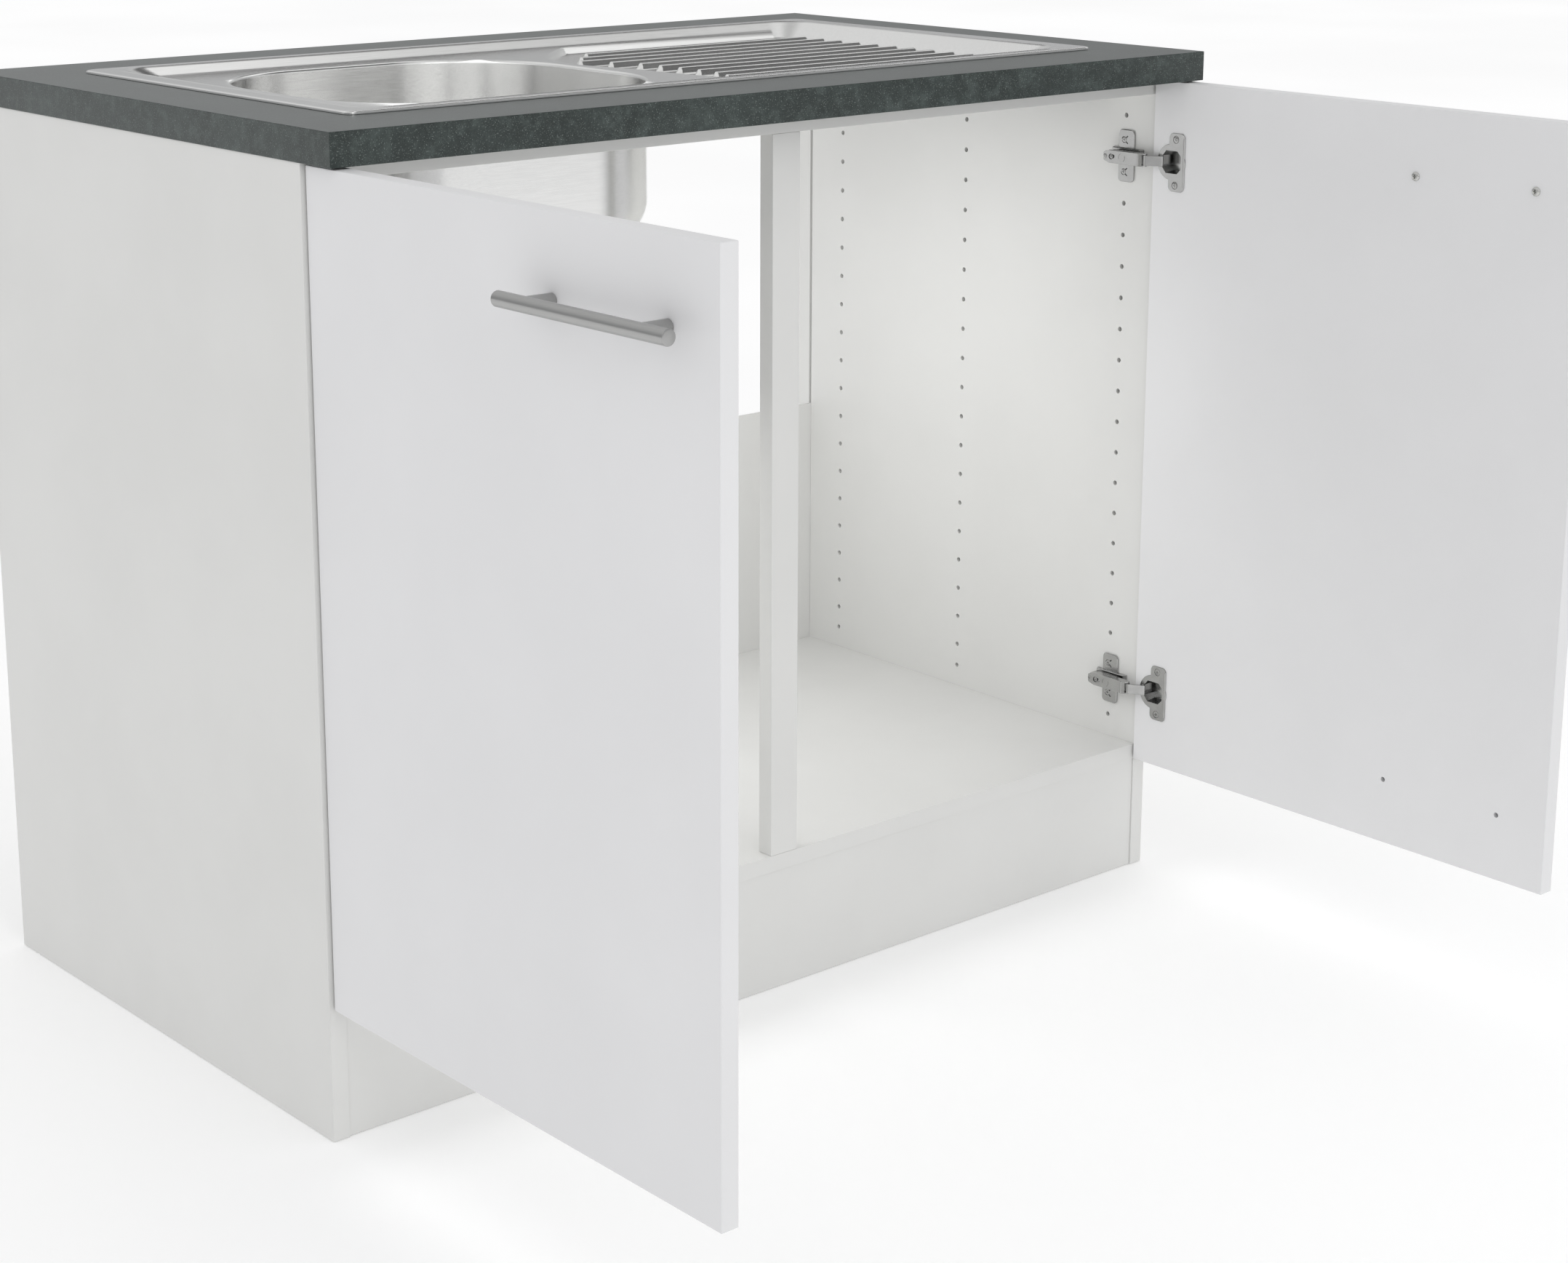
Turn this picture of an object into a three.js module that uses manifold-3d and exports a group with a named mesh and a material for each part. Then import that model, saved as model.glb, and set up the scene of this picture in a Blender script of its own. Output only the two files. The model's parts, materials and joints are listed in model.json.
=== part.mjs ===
// Kitchen sink unit: a white two-door base cabinet under a stone-grey worktop with an inset steel sink.
// Millimetres. +X is right, +Y is the wall side, +Z is up. The origin is on the floor, at the middle of
// the plinth's underside. The doors are drawn as they stand open, square to the front.

import * as THREE from 'three';
import { mergeVertices } from 'three/addons/utils/BufferGeometryUtils.js';
import Module from 'manifold-3d';

// ---------------------------------------------------------------- driving dimensions: cabinet
const worktopWidth = 1000;
const worktopDepth = 600;
const worktopThickness = 28;
const cabinetHeight = 820;
const boardThickness = 16;
const worktopEndOverhang = 1.2;
const worktopFrontOverhang = 45.2;
const plinthHeight = 117;
const plinthSetback = 1.5;
const railDepth = 60;
const postWidth = 32;
const postDepth = 17;
const backPanelThickness = 3.2;
const backPanelTop = 410.5;
const grooveClearance = 0.3;
const grooveDepth = 7;
const spaceBehindGroove = 46.8;

// ---------------------------------------------------------------- driving dimensions: shelf-pin holes
const holePitch = 32;
const holeDiameter = 5;
const holeDepth = 12;
const holeSides = 6;
const frontColumnSetback = 37.5;
const middleColumnSpacing = 224;
const rearColumnToGroove = 50;
const firstHoleAboveBottomBoard = 47;
const topHoleBelowRail = 48;
const extraHoleOffset = 24;

// ---------------------------------------------------------------- driving dimensions: doors
const doorReveal = 1.5;
const doorCentreGap = 2.6;
const doorTopGap = 1.5;
const doorBottomLap = 1;
const doorThickness = 16;
const closedDoorGap = 2;
const openDoorInset = 3.5;
const openDoorLead = 2.2;

// ---------------------------------------------------------------- driving dimensions: handles
const handleFromFreeEdge = 53;
const handleHoleSpacing = 128;
const handleFromDoorEnd = 62.4;
const handleBarDiameter = 12;
const handleBarLength = 190;
const handleStandOff = 25;
const handleLegDiameter = 11;
const handleHoleDiameter = 5;
const spareHoleDepth = 10;
const handleScrewDiameter = 4;
const handleScrewGrip = 9;
const screwHeadDiameter = 8.4;
const screwHeadHeight = 2.4;

// ---------------------------------------------------------------- driving dimensions: hinges
const hingeFromDoorEnd = 78;
const cupBoreDiameter = 35;
const cupBoreDepth = 12;
const cupFromDoorEdge = 7;
const cupRimDiameter = 35.6;
const cupFlangeThickness = 1;
const cupWingHeight = 57.4;
const cupWingStart = 3.2;
const cupWingEnd = 17.1;
const cupWingCorner = 5;
const pocketDepth = 10.5;
const pocketReach = 12.4;
const pocketHeight = 22;
const pocketCorner = 5;
const cupPinFromBore = 3.8;
const cupPinBelowFace = 0.5;
const cupPinLength = 16.4;
const leverTurn = 45;
const hingePinDiameter = 2.2;
const hingePinClearance = 0.3;
const hingePinSides = 8;
const armEyeRadius = 2.3;
const cupEyeRadius = 1.9;
const armHeight = 13;
const armWall = 1.2;
const armAbovePin = 4.7;
const armCheekDepth = 8.4;
const armRear = 53.4;
const plateWidth = 20.2;
const plateHeight = 52;
const plateThickness = 2.2;
const plateCorner = 4;
const plateAheadOfHoles = 3;
const ridgeAheadOfHoles = 13.5;
const tongueThickness = 5;
const tongueHeight = 16;
const pegLength = 10;

// ---------------------------------------------------------------- driving dimensions: sink
const sinkWidth = 860;
const sinkDepth = 435;
const sinkLap = 10;
const sinkCornerRadius = 9;
const sheet = 0.8;
const rimHeight = 3;
const sealThickness = 1.4;
const sealWidth = 6;
const trayLedgeSide = 13.5;
const trayLedgeEnd = 24;
const trayCornerRadius = 32;
const traySlope = 2;
const deckDrop = 8;
const drainerDrop = 15;
const bowlWidth = 336;
const bowlDepthY = 324;
const bowlCornerRadius = 116;
const bowlFromSinkEnd = 70;
const bowlHeight = 154;
const bowlFootRadius = 36;
const bowlFootSpread = 6;
const drainerFromBowl = 16;
const drainerBackCorner = 111;
const drainerFrontCorner = 38;
const drainerLeftSideBack = 92;
const drainerLeftSideFront = 14;
const ribCount = 10;
const ribPitch = 27.5;
const ribWidth = 11;
const ribHeight = 6.4;
const ribEndGap = 13;
const ribStartFromBowl = [89, 62, 40, 56, 70, 72, 73.5, 74, 72, 62];
const clampTabHeight = 15;
const clampTabGap = 6.5;
const clampWidth = 14;
const clampSpacing = 240;
const clampJaw = 1.6;
const clampGrip = 9;
const clampFootDrop = 8;
const clampSteel = 2;
const clampToeReach = 10;
const clampToeWidth = 4;

// ---------------------------------------------------------------- driving dimensions: waste and overflow
const drainHoleDiameter = 90;
const drainFlangeLap = 11.5;
const drainFlangeThickness = 1.5;
const drainCupClearance = 2;
const drainCupDepth = 42;
const drainWall = 2.5;
const outletDiameter = 44;
const outletLength = 26;
const outletWall = 3;
const outletLip = 3;
const outletLipHeight = 10;
const gasketThickness = 3;
const ringNutHeight = 10;
const ringNutWall = 8;
const basketClearance = 1.5;
const basketDepth = 26;
const basketWall = 1.2;
const basketFootInset = 6;
const basketFootRise = 8;
const basketLip = 1;
const basketSlotCount = 8;
const basketSlotDiameter = 7;
const knobDiameter = 10;
const knobStemDiameter = 4.8;
const knobStemHeight = 16;
const overflowBelowDeck = 38;
const overflowHoleDiameter = 30;
const overflowCoverLap = 8;
const overflowCoverThickness = 2.4;
const overflowNeckClearance = 1.5;
const overflowNeckLength = 6;
const overflowSlotPitch = 7;
const overflowSlotLength = 18;
const overflowSlotHeight = 3.6;
const elbowLap = 5;
const elbowWall = 3;
const elbowDepth = 26;
const elbowSpout = 12;
const hoseDiameter = 19;
const hoseSides = 10;
const hoseWall = 2.5;
const hoseFit = 1;
const hoseWallStandOff = 17;
const hoseSweep = 34;
const spigotLength = 14;
const spigotRise = 16;
const spigotSides = 12;

const roundSides = 18;     // flats around a turned piece or a round bore
const seat = 0.3;          // gap left between a piece and the seat it rests on
const margin = 1;          // how far a cutting shape runs past the face it cuts

// ---------------------------------------------------------------- derived places
const plinthThickness = boardThickness;
const frontY = -(plinthSetback + plinthThickness / 2);
const cabinetDepth = worktopDepth - worktopFrontOverhang;
const backY = frontY + cabinetDepth;
const sideOuterX = worktopWidth / 2 - worktopEndOverhang;
const sideInnerX = sideOuterX - boardThickness;
const grooveWidth = backPanelThickness + 2 * grooveClearance;
const grooveY = backY - spaceBehindGroove - grooveWidth;
const bottomTop = plinthHeight + boardThickness;
const railBottom = cabinetHeight - boardThickness;
const topZ = cabinetHeight + worktopThickness;

const doorWidth = sideOuterX - doorReveal - doorCentreGap / 2;
const doorBottom = plinthHeight + doorBottomLap;
const doorTop = cabinetHeight - doorTopGap;
const firstHoleZ = bottomTop + firstHoleAboveBottomBoard;
const lowerHingeZ = firstHoleZ + holePitch / 2;
const hingeSteps = Math.round((doorTop - hingeFromDoorEnd - lowerHingeZ) / holePitch);
const upperHingeZ = lowerHingeZ + hingeSteps * holePitch;
const handleZ = doorTop - handleFromDoorEnd;
const spareHoleZ = doorBottom + handleFromDoorEnd;

const sinkY = frontY - worktopFrontOverhang + worktopDepth / 2;
const rimTop = topZ + rimHeight;
const deckZ = rimTop - deckDrop;
const drainerZ = rimTop - drainerDrop;
const cutOutWidth = sinkWidth - 2 * sinkLap;
const cutOutDepth = sinkDepth - 2 * sinkLap;
const trayWidth = sinkWidth - 2 * trayLedgeEnd;
const trayDepth = sinkDepth - 2 * trayLedgeSide;
const bowlX = -sinkWidth / 2 + bowlFromSinkEnd + bowlWidth / 2;
const bowlLeft = bowlX - bowlWidth / 2;
const bowlRight = bowlX + bowlWidth / 2;
const bowlFloor = rimTop - bowlHeight;

const drainFlangeDiameter = drainHoleDiameter + 2 * drainFlangeLap;
const drainCupDiameter = drainHoleDiameter - 2 * drainCupClearance;
const drainCupBore = drainCupDiameter - 2 * drainWall;
const drainTop = bowlFloor + seat;
const drainCupFloor = drainTop - drainCupDepth;
const basketDiameter = drainCupBore - 2 * basketClearance;
const overflowZ = deckZ - overflowBelowDeck;
const overflowCoverDiameter = overflowHoleDiameter + 2 * overflowCoverLap;
const elbowDiameter = overflowHoleDiameter + 2 * elbowLap;
const spigotRadius = hoseDiameter / 2 - hoseFit;
const spigotBore = spigotRadius - hoseWall;
const spigotZ = drainCupFloor + spigotRise;
const spigotEndX = bowlX - drainCupDiameter / 2 - spigotLength;
const hoseX = bowlLeft - sheet - hoseWallStandOff;
const hoseTop = overflowZ - elbowDiameter / 2 - elbowSpout - seat;

// ---------------------------------------------------------------- materials
function finish(color, roughness, metalness) {
  return new THREE.MeshStandardMaterial({ color, roughness, metalness });
}
const whiteBoard = finish(0xe9e9e8, 0.45, 0);
const doorWhite = finish(0xf0f0f1, 0.55, 0);
const stoneLaminate = finish(0x4c5553, 0.6, 0);
const brushedSteel = finish(0xb9bab9, 0.32, 1);
const hingeNickel = finish(0xb4b4b2, 0.25, 1);
const screwZinc = finish(0xc6c6c2, 0.3, 1);
const sealRubber = finish(0x3a3b3a, 0.8, 0);
const wastePlastic = finish(0xe4e4e0, 0.5, 0);

// ---------------------------------------------------------------- shape helpers
const wasm = await Module();
wasm.setup();

function toSolid(geometry) {
  const bare = geometry.index ? geometry.toNonIndexed() : geometry.clone();
  bare.deleteAttribute('normal');
  bare.deleteAttribute('uv');
  const merged = mergeVertices(bare, 1e-4);
  const vertProperties = new Float32Array(merged.attributes.position.array);
  const triVerts = new Uint32Array(merged.index.array);
  return new wasm.Manifold(new wasm.Mesh({ numProp: 3, vertProperties, triVerts }));
}

function toGeometry(solid) {
  const { vertProperties, triVerts } = solid.getMesh();
  const geometry = new THREE.BufferGeometry();
  geometry.setAttribute('position', new THREE.BufferAttribute(new Float32Array(vertProperties), 3));
  geometry.setIndex(new THREE.BufferAttribute(new Uint32Array(triVerts), 1));
  geometry.computeVertexNormals();
  return geometry;
}

function join(geometries) {
  return geometries.map(toSolid).reduce((sum, solid) => sum.add(solid));
}

function cut(body, tools) {
  return tools.length ? body.subtract(join(tools)) : body;
}

function carve(geometry, tools) {
  return toGeometry(cut(toSolid(geometry), tools));
}

// a box given by its lowest and highest corners
function block(low, high) {
  const size = high.map((value, axis) => value - low[axis]);
  const centre = high.map((value, axis) => (value + low[axis]) / 2);
  return new THREE.BoxGeometry(...size).translate(...centre);
}

function extrude(points, low, high) {
  const shape = new THREE.Shape(points.map(([x, y]) => new THREE.Vector2(x, y)));
  const options = { depth: high - low, bevelEnabled: false };
  return new THREE.ExtrudeGeometry(shape, options).translate(0, 0, low);
}

// an outline of (y, z) points, carried along X from low to high
function extrudeAlongX(points, low, high) {
  const turn = new THREE.Matrix4().makeBasis(
    new THREE.Vector3(0, 1, 0), new THREE.Vector3(0, 0, 1), new THREE.Vector3(1, 0, 0));
  return extrude(points, low, high).applyMatrix4(turn);
}

function rodAlongZ(radius, low, high, x, y, sides) {
  return new THREE.CylinderGeometry(radius, radius, high - low, sides)
    .rotateX(Math.PI / 2).translate(x, y, (low + high) / 2);
}

function rodAlongX(radius, xA, xB, y, z, sides) {
  return new THREE.CylinderGeometry(radius, radius, Math.abs(xB - xA), sides)
    .rotateZ(Math.PI / 2).translate((xA + xB) / 2, y, z);
}

// the corner points of a rectangle with round corners, counter-clockwise
function roundedRectangle(width, depth, radius, centreX, centreY, steps) {
  const points = [];
  const signs = [[1, 1], [-1, 1], [-1, -1], [1, -1]];
  signs.forEach(([sx, sy], corner) => {
    for (let step = 0; step <= steps; step += 1) {
      const angle = (corner + step / steps) * Math.PI / 2;
      const x = centreX + sx * (width / 2 - radius) + radius * Math.cos(angle);
      const y = centreY + sy * (depth / 2 - radius) + radius * Math.sin(angle);
      points.push([x, y]);
    }
  });
  return points;
}

// a closed skin through convex rings of equal point counts, given from the lowest to the highest
function loft(rings) {
  const count = rings[0].points.length;
  const positions = rings.flatMap(({ points, z }) => points.flatMap(([x, y]) => [x, y, z]));
  const faces = [];
  for (let step = 2; step < count; step += 1) {
    const top = (rings.length - 1) * count;
    faces.push(0, step, step - 1);
    faces.push(top, top + step - 1, top + step);
  }
  for (let ring = 0; ring < rings.length - 1; ring += 1) {
    for (let point = 0; point < count; point += 1) {
      const a = ring * count + point;
      const b = ring * count + (point + 1) % count;
      faces.push(a, b, b + count, a, b + count, a + count);
    }
  }
  const geometry = new THREE.BufferGeometry();
  geometry.setAttribute('position', new THREE.Float32BufferAttribute(positions, 3));
  geometry.setIndex(faces);
  return geometry.toNonIndexed();
}

const unit = new THREE.Group();

function addPiece(name, geometry, material, group = unit) {
  const mesh = new THREE.Mesh(geometry, material);
  mesh.name = name;
  group.add(mesh);
  return mesh;
}

// ---------------------------------------------------------------- cabinet boards
function shelfPinHoles(side) {
  const count = Math.floor((railBottom - topHoleBelowRail - firstHoleZ) / holePitch) + 1;
  const lastHoleZ = firstHoleZ + (count - 1) * holePitch;
  const heights = Array.from({ length: count }, (_, index) => firstHoleZ + index * holePitch);
  heights.unshift(firstHoleZ - extraHoleOffset);
  heights.push(lastHoleZ + extraHoleOffset);
  const frontColumn = frontY + frontColumnSetback;
  const columns = [frontColumn, frontColumn + middleColumnSpacing, grooveY - rearColumnToGroove];
  const deep = side * (sideInnerX + holeDepth);
  const mouth = side * (sideInnerX - margin);
  return columns.flatMap((y) => heights.map(
    (z) => rodAlongX(holeDiameter / 2, deep, mouth, y, z, holeSides)));
}

function sidePanel(side) {
  const xs = [side * sideInnerX, side * sideOuterX].sort((a, b) => a - b);
  const panel = block([xs[0], frontY, 0], [xs[1], backY, cabinetHeight]);
  const grooveXs = [side * (sideInnerX - margin), side * (sideInnerX + grooveDepth)].sort((a, b) => a - b);
  const groove = block(
    [grooveXs[0], grooveY, -margin], [grooveXs[1], grooveY + grooveWidth, cabinetHeight + margin]);
  return carve(panel, [groove, ...shelfPinHoles(side)]);
}

function backPanel() {
  const halfWidth = sideInnerX + grooveDepth - seat;
  const y = grooveY + grooveClearance;
  return block([-halfWidth, y, plinthHeight], [halfWidth, y + backPanelThickness, backPanelTop]);
}

function bottomBoard() {
  const rear = grooveY + grooveClearance;
  return block([-sideInnerX, frontY, plinthHeight], [sideInnerX, rear, bottomTop]);
}

function plinth() {
  const front = frontY + plinthSetback;
  return block([-sideInnerX, front, 0], [sideInnerX, front + plinthThickness, plinthHeight]);
}

function rail(yLow) {
  return block([-sideInnerX, yLow, railBottom], [sideInnerX, yLow + railDepth, cabinetHeight]);
}

function centrePost() {
  return block([-postWidth / 2, frontY, bottomTop], [postWidth / 2, frontY + postDepth, railBottom]);
}

function worktop() {
  const front = frontY - worktopFrontOverhang;
  const half = worktopWidth / 2;
  const board = block([-half, front, cabinetHeight], [half, front + worktopDepth, topZ]);
  const outline = roundedRectangle(cutOutWidth, cutOutDepth, sinkCornerRadius, 0, sinkY, 4);
  return carve(board, [extrude(outline, cabinetHeight - margin, topZ + margin)]);
}

// ---------------------------------------------------------------- sink
// the tray's wall leans in by traySlope for each millimetre that it drops below the rim's top
function trayRing(drop, outset) {
  const inset = 2 * (traySlope * drop - outset);
  const radius = trayCornerRadius - traySlope * drop / 2 + outset;
  return {
    points: roundedRectangle(trayWidth - inset, trayDepth - inset, radius, 0, sinkY, 5),
    z: rimTop - drop,
  };
}

function bowlRing(z, inset, radius) {
  const width = bowlWidth - 2 * inset;
  const depth = bowlDepthY - 2 * inset;
  return { points: roundedRectangle(width, depth, radius, bowlX, sinkY, 6), z };
}

// the bowl's wall drops straight, then turns into the floor on a quarter round
function bowlRings(outset, top) {
  const rings = [];
  const footSteps = 4;
  for (let step = 0; step <= footSteps; step += 1) {
    const angle = step / footSteps * Math.PI / 2;
    const spread = bowlFootSpread * (1 - step / footSteps);
    const inset = bowlFootRadius * (1 - Math.sin(angle)) + spread;
    const z = bowlFloor + bowlFootRadius * (1 - Math.cos(angle));
    rings.push(bowlRing(z - outset, inset - outset, bowlCornerRadius - inset + outset));
  }
  rings.push(bowlRing(top, -outset, bowlCornerRadius + outset));
  return rings;
}

// the drainer's outline: the tray's right end, with its back left corner cut off on a slant
function drainerRing(drop, outset) {
  const tray = trayRing(drop, outset).points;
  const perCorner = tray.length / 4;
  const half = trayDepth / 2 - traySlope * drop + outset;
  const left = bowlRight + drainerFromBowl - outset;
  const leftSide = [
    [bowlRight + drainerBackCorner - outset, sinkY + half], [left, sinkY + drainerLeftSideBack],
    [left, sinkY + drainerLeftSideFront], [bowlRight + drainerFrontCorner - outset, sinkY - half]];
  return {
    points: [...tray.slice(0, perCorner), ...leftSide, ...tray.slice(3 * perCorner)],
    z: rimTop - drop,
  };
}

function ribs() {
  const right = trayWidth / 2 - traySlope * drainerDrop - ribEndGap;
  return Array.from({ length: ribCount }, (_, index) => {
    const y = sinkY + ((ribCount - 1) / 2 - index) * ribPitch;
    const left = bowlRight + ribStartFromBowl[index];
    const half = ribWidth / 2;
    const crown = ribWidth / 4;
    const section = [[y - half, drainerZ - sheet / 2], [y + half, drainerZ - sheet / 2],
      [y + crown, drainerZ + ribHeight], [y - crown, drainerZ + ribHeight]];
    return extrudeAlongX(section, left, right);
  });
}

function clampPlaces() {
  const x = cutOutWidth / 2 - clampTabGap;
  return [[-1, -1], [-1, 1], [1, -1], [1, 1]].map(
    ([side, row]) => ({ side, x: side * x, y: sinkY + row * clampSpacing / 2 }));
}

function clampTabs() {
  return clampPlaces().map(({ x, y }) => block(
    [x - sheet / 2, y - clampWidth, rimTop - sheet - clampTabHeight],
    [x + sheet / 2, y + clampWidth, rimTop - sheet / 2]));
}

function rimOutline(inset) {
  const width = sinkWidth - 2 * inset;
  const depth = sinkDepth - 2 * inset;
  return roundedRectangle(width, depth, sinkCornerRadius - inset, 0, sinkY, 4);
}

function drainCutter() {
  const low = bowlFloor - sheet - margin;
  return rodAlongZ(drainHoleDiameter / 2, low, bowlFloor + margin, bowlX, sinkY, roundSides);
}

function overflowCutter() {
  const outside = bowlLeft - sheet - margin;
  return rodAlongX(
    overflowHoleDiameter / 2, outside, bowlLeft + margin, sinkY, overflowZ, roundSides);
}

function sink() {
  const rim = cut(
    toSolid(extrude(rimOutline(0), topZ + seat, rimTop)),
    [extrude(rimOutline(sheet), topZ - margin, rimTop - sheet)]);
  const pressed = join([
    loft([trayRing(deckDrop + sheet, sheet), trayRing(sheet / 2, sheet)]),
    loft([drainerRing(drainerDrop + sheet, sheet), drainerRing(deckDrop, sheet)]),
    loft(bowlRings(sheet, deckZ - sheet / 2)),
    ...clampTabs(),
  ]);
  const above = rimTop + margin;
  const hollow = join([
    loft([trayRing(deckDrop, 0), trayRing(0, 0), { ...trayRing(0, 0), z: above }]),
    loft([drainerRing(drainerDrop, 0), drainerRing(0, 0)]),
    loft(bowlRings(0, deckZ + margin)),
    drainCutter(),
    overflowCutter(),
  ]);
  return toGeometry(rim.add(pressed).subtract(hollow).add(join(ribs())));
}

// a flat strip that fills the space between the rim and the worktop, just outside the cut-out
function sinkSeal() {
  const outerInset = sinkLap - sealWidth - margin;
  const outer = extrude(rimOutline(outerInset), topZ, topZ + sealThickness);
  const inner = extrude(rimOutline(outerInset + sealWidth), topZ - margin, rimTop);
  return carve(outer, [inner]);
}

// a bent hook that hangs on a tab below the rim and presses its toe up under the worktop
function sinkClamp({ side, x, y }) {
  const tab = sheet / 2 + seat;
  const back = tab + clampJaw;
  const saddle = rimTop - sheet - clampTabHeight - seat;
  const under = saddle - clampSteel;
  const grip = saddle + clampGrip;
  const foot = cabinetHeight - clampFootDrop;
  const toeTop = cabinetHeight - seat;
  const toeStart = clampTabGap + clampToeReach;
  const toeEnd = toeStart + clampToeWidth;
  const section = [
    [-back, under], [tab, under], [tab, foot], [toeEnd, foot], [toeEnd, toeTop],
    [toeStart, toeTop], [toeStart, foot + clampSteel], [back, foot + clampSteel], [back, grip],
    [tab, grip], [tab, saddle], [-tab, saddle], [-tab, grip], [-back, grip],
  ];
  const turn = new THREE.Matrix4().makeBasis(
    new THREE.Vector3(1, 0, 0), new THREE.Vector3(0, 0, 1), new THREE.Vector3(0, -1, 0));
  const outline = section.map(([out, z]) => [side * out, z]);
  return extrude(outline, -clampWidth / 2, clampWidth / 2).applyMatrix4(turn).translate(x, y, 0);
}

// ---------------------------------------------------------------- waste and overflow
// a turned piece about the drain's axis, from (radius, height) points that close on themselves
function turned(profile) {
  const points = [...profile, profile[0]].map(([radius, z]) => new THREE.Vector2(radius, z));
  return new THREE.LatheGeometry(points, roundSides)
    .rotateX(Math.PI / 2).translate(bowlX, sinkY, 0);
}

function strainerBody() {
  const outer = drainCupDiameter / 2;
  const inner = drainCupBore / 2;
  const throat = outletDiameter / 2 - outletWall;
  const flangeTop = drainTop + drainFlangeThickness;
  const shell = turned([
    [throat, drainCupFloor - drainWall], [outer, drainCupFloor - drainWall], [outer, drainTop],
    [drainFlangeDiameter / 2, drainTop], [drainFlangeDiameter / 2, flangeTop],
    [inner, flangeTop], [inner, drainCupFloor], [throat, drainCupFloor],
  ]);
  const start = bowlX - inner * Math.cos(Math.PI / roundSides) - drainWall / 2;
  const spigot = rodAlongX(spigotRadius, spigotEndX, start, sinkY, spigotZ, spigotSides);
  const bore = rodAlongX(
    spigotBore, spigotEndX - margin, start + drainWall, sinkY, spigotZ, spigotSides);
  return toGeometry(cut(join([shell, spigot]), [bore]));
}

// a flat ring around the strainer, its top at the given height
function collar(top, height) {
  const inner = drainCupDiameter / 2 + seat;
  const outer = drainHoleDiameter / 2 + ringNutWall;
  return turned([[inner, top - height], [outer, top - height], [outer, top], [inner, top]]);
}

function drainGasket() {
  return collar(bowlFloor - sheet - seat, gasketThickness);
}

function ringNut() {
  return collar(bowlFloor - sheet - seat - gasketThickness - seat, ringNutHeight);
}

function outletTail() {
  const top = drainCupFloor - drainWall - seat;
  const outer = outletDiameter / 2;
  const inner = outer - outletWall;
  const lipLow = top - outletLipHeight;
  return turned([
    [inner, top - outletLength], [outer, top - outletLength], [outer, lipLow],
    [outer + outletLip, lipLow], [outer + outletLip, top], [inner, top],
  ]);
}

function basketSlot(index, low, high) {
  const ring = basketDiameter / 4 + knobStemDiameter / 2;
  const angle = index / basketSlotCount * 2 * Math.PI;
  const x = bowlX + ring * Math.cos(angle);
  const y = sinkY + ring * Math.sin(angle);
  return rodAlongZ(basketSlotDiameter / 2, low, high, x, y, hingePinSides);
}

function strainerBasket() {
  const lipLow = drainTop + drainFlangeThickness + seat;
  const lipTop = lipLow + basketWall;
  const floor = lipLow - basketDepth;
  const floorTop = floor + basketWall;
  const outer = basketDiameter / 2;
  const foot = outer - basketFootInset;
  const shoulder = floor + basketFootRise;
  const lip = drainCupDiameter / 2 + basketLip;
  const stem = knobStemDiameter / 2;
  const knob = knobDiameter / 2;
  const stemTop = floor + knobStemHeight;
  const basket = turned([
    [0, floor], [foot, floor], [outer, shoulder], [outer, lipLow], [lip, lipLow], [lip, lipTop],
    [outer - basketWall, lipTop], [outer - basketWall, shoulder + basketWall],
    [foot - basketWall, floorTop], [stem, floorTop], [stem, stemTop],
    [knob, stemTop + knob / 2], [knob, stemTop + 3 * knob / 2], [0, stemTop + 2 * knob],
  ]);
  const slots = Array.from(
    { length: basketSlotCount }, (_, index) => basketSlot(index, floor - margin, floorTop + margin));
  return carve(basket, slots);
}

function overflowCover() {
  const face = bowlLeft + seat;
  const front = face + overflowCoverThickness;
  const back = face - overflowNeckLength;
  const plate = rodAlongX(overflowCoverDiameter / 2, face, front, sinkY, overflowZ, roundSides);
  const neckRadius = overflowHoleDiameter / 2 - overflowNeckClearance;
  const neck = rodAlongX(neckRadius, back, face + margin, sinkY, overflowZ, roundSides);
  const slots = [-1, 0, 1].map((row) => {
    const z = overflowZ + row * overflowSlotPitch;
    return block(
      [back - margin, sinkY - overflowSlotLength / 2, z - overflowSlotHeight / 2],
      [front + margin, sinkY + overflowSlotLength / 2, z + overflowSlotHeight / 2]);
  });
  return toGeometry(cut(join([plate, neck]), slots));
}

function overflowElbow() {
  const face = bowlLeft - sheet - seat;
  const back = face - elbowDepth;
  const radius = elbowDiameter / 2;
  const spoutEnd = overflowZ - radius - elbowSpout;
  const drum = rodAlongX(radius, back, face, sinkY, overflowZ, roundSides);
  const spout = rodAlongZ(spigotRadius, spoutEnd, overflowZ, hoseX, sinkY, spigotSides);
  const chamber = rodAlongX(
    radius - elbowWall, back + elbowWall, face + margin, sinkY, overflowZ, roundSides);
  const bore = rodAlongZ(spigotBore, spoutEnd - margin, overflowZ, hoseX, sinkY, spigotSides);
  return toGeometry(cut(join([drum, spout]), [chamber, bore]));
}

// the hose drops beside the bowl, sweeps under it and meets the strainer's side spigot
function overflowHose() {
  const top = new THREE.Vector3(hoseX, sinkY, hoseTop);
  const turnStart = new THREE.Vector3(hoseX, sinkY, spigotZ + hoseSweep);
  const corner = new THREE.Vector3(hoseX, sinkY, spigotZ);
  const turnEnd = new THREE.Vector3(hoseX + hoseSweep, sinkY, spigotZ);
  const end = new THREE.Vector3(spigotEndX - seat, sinkY, spigotZ);
  const path = new THREE.CurvePath();
  path.add(new THREE.LineCurve3(top, turnStart));
  path.add(new THREE.QuadraticBezierCurve3(turnStart, corner, turnEnd));
  path.add(new THREE.LineCurve3(turnEnd, end));
  const section = Array.from({ length: hoseSides }, (_, index) => {
    const angle = index / hoseSides * 2 * Math.PI;
    return new THREE.Vector2(Math.cos(angle), Math.sin(angle)).multiplyScalar(hoseDiameter / 2);
  });
  const options = { steps: 24, extrudePath: path, bevelEnabled: false };
  return new THREE.ExtrudeGeometry(new THREE.Shape(section), options);
}

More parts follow.
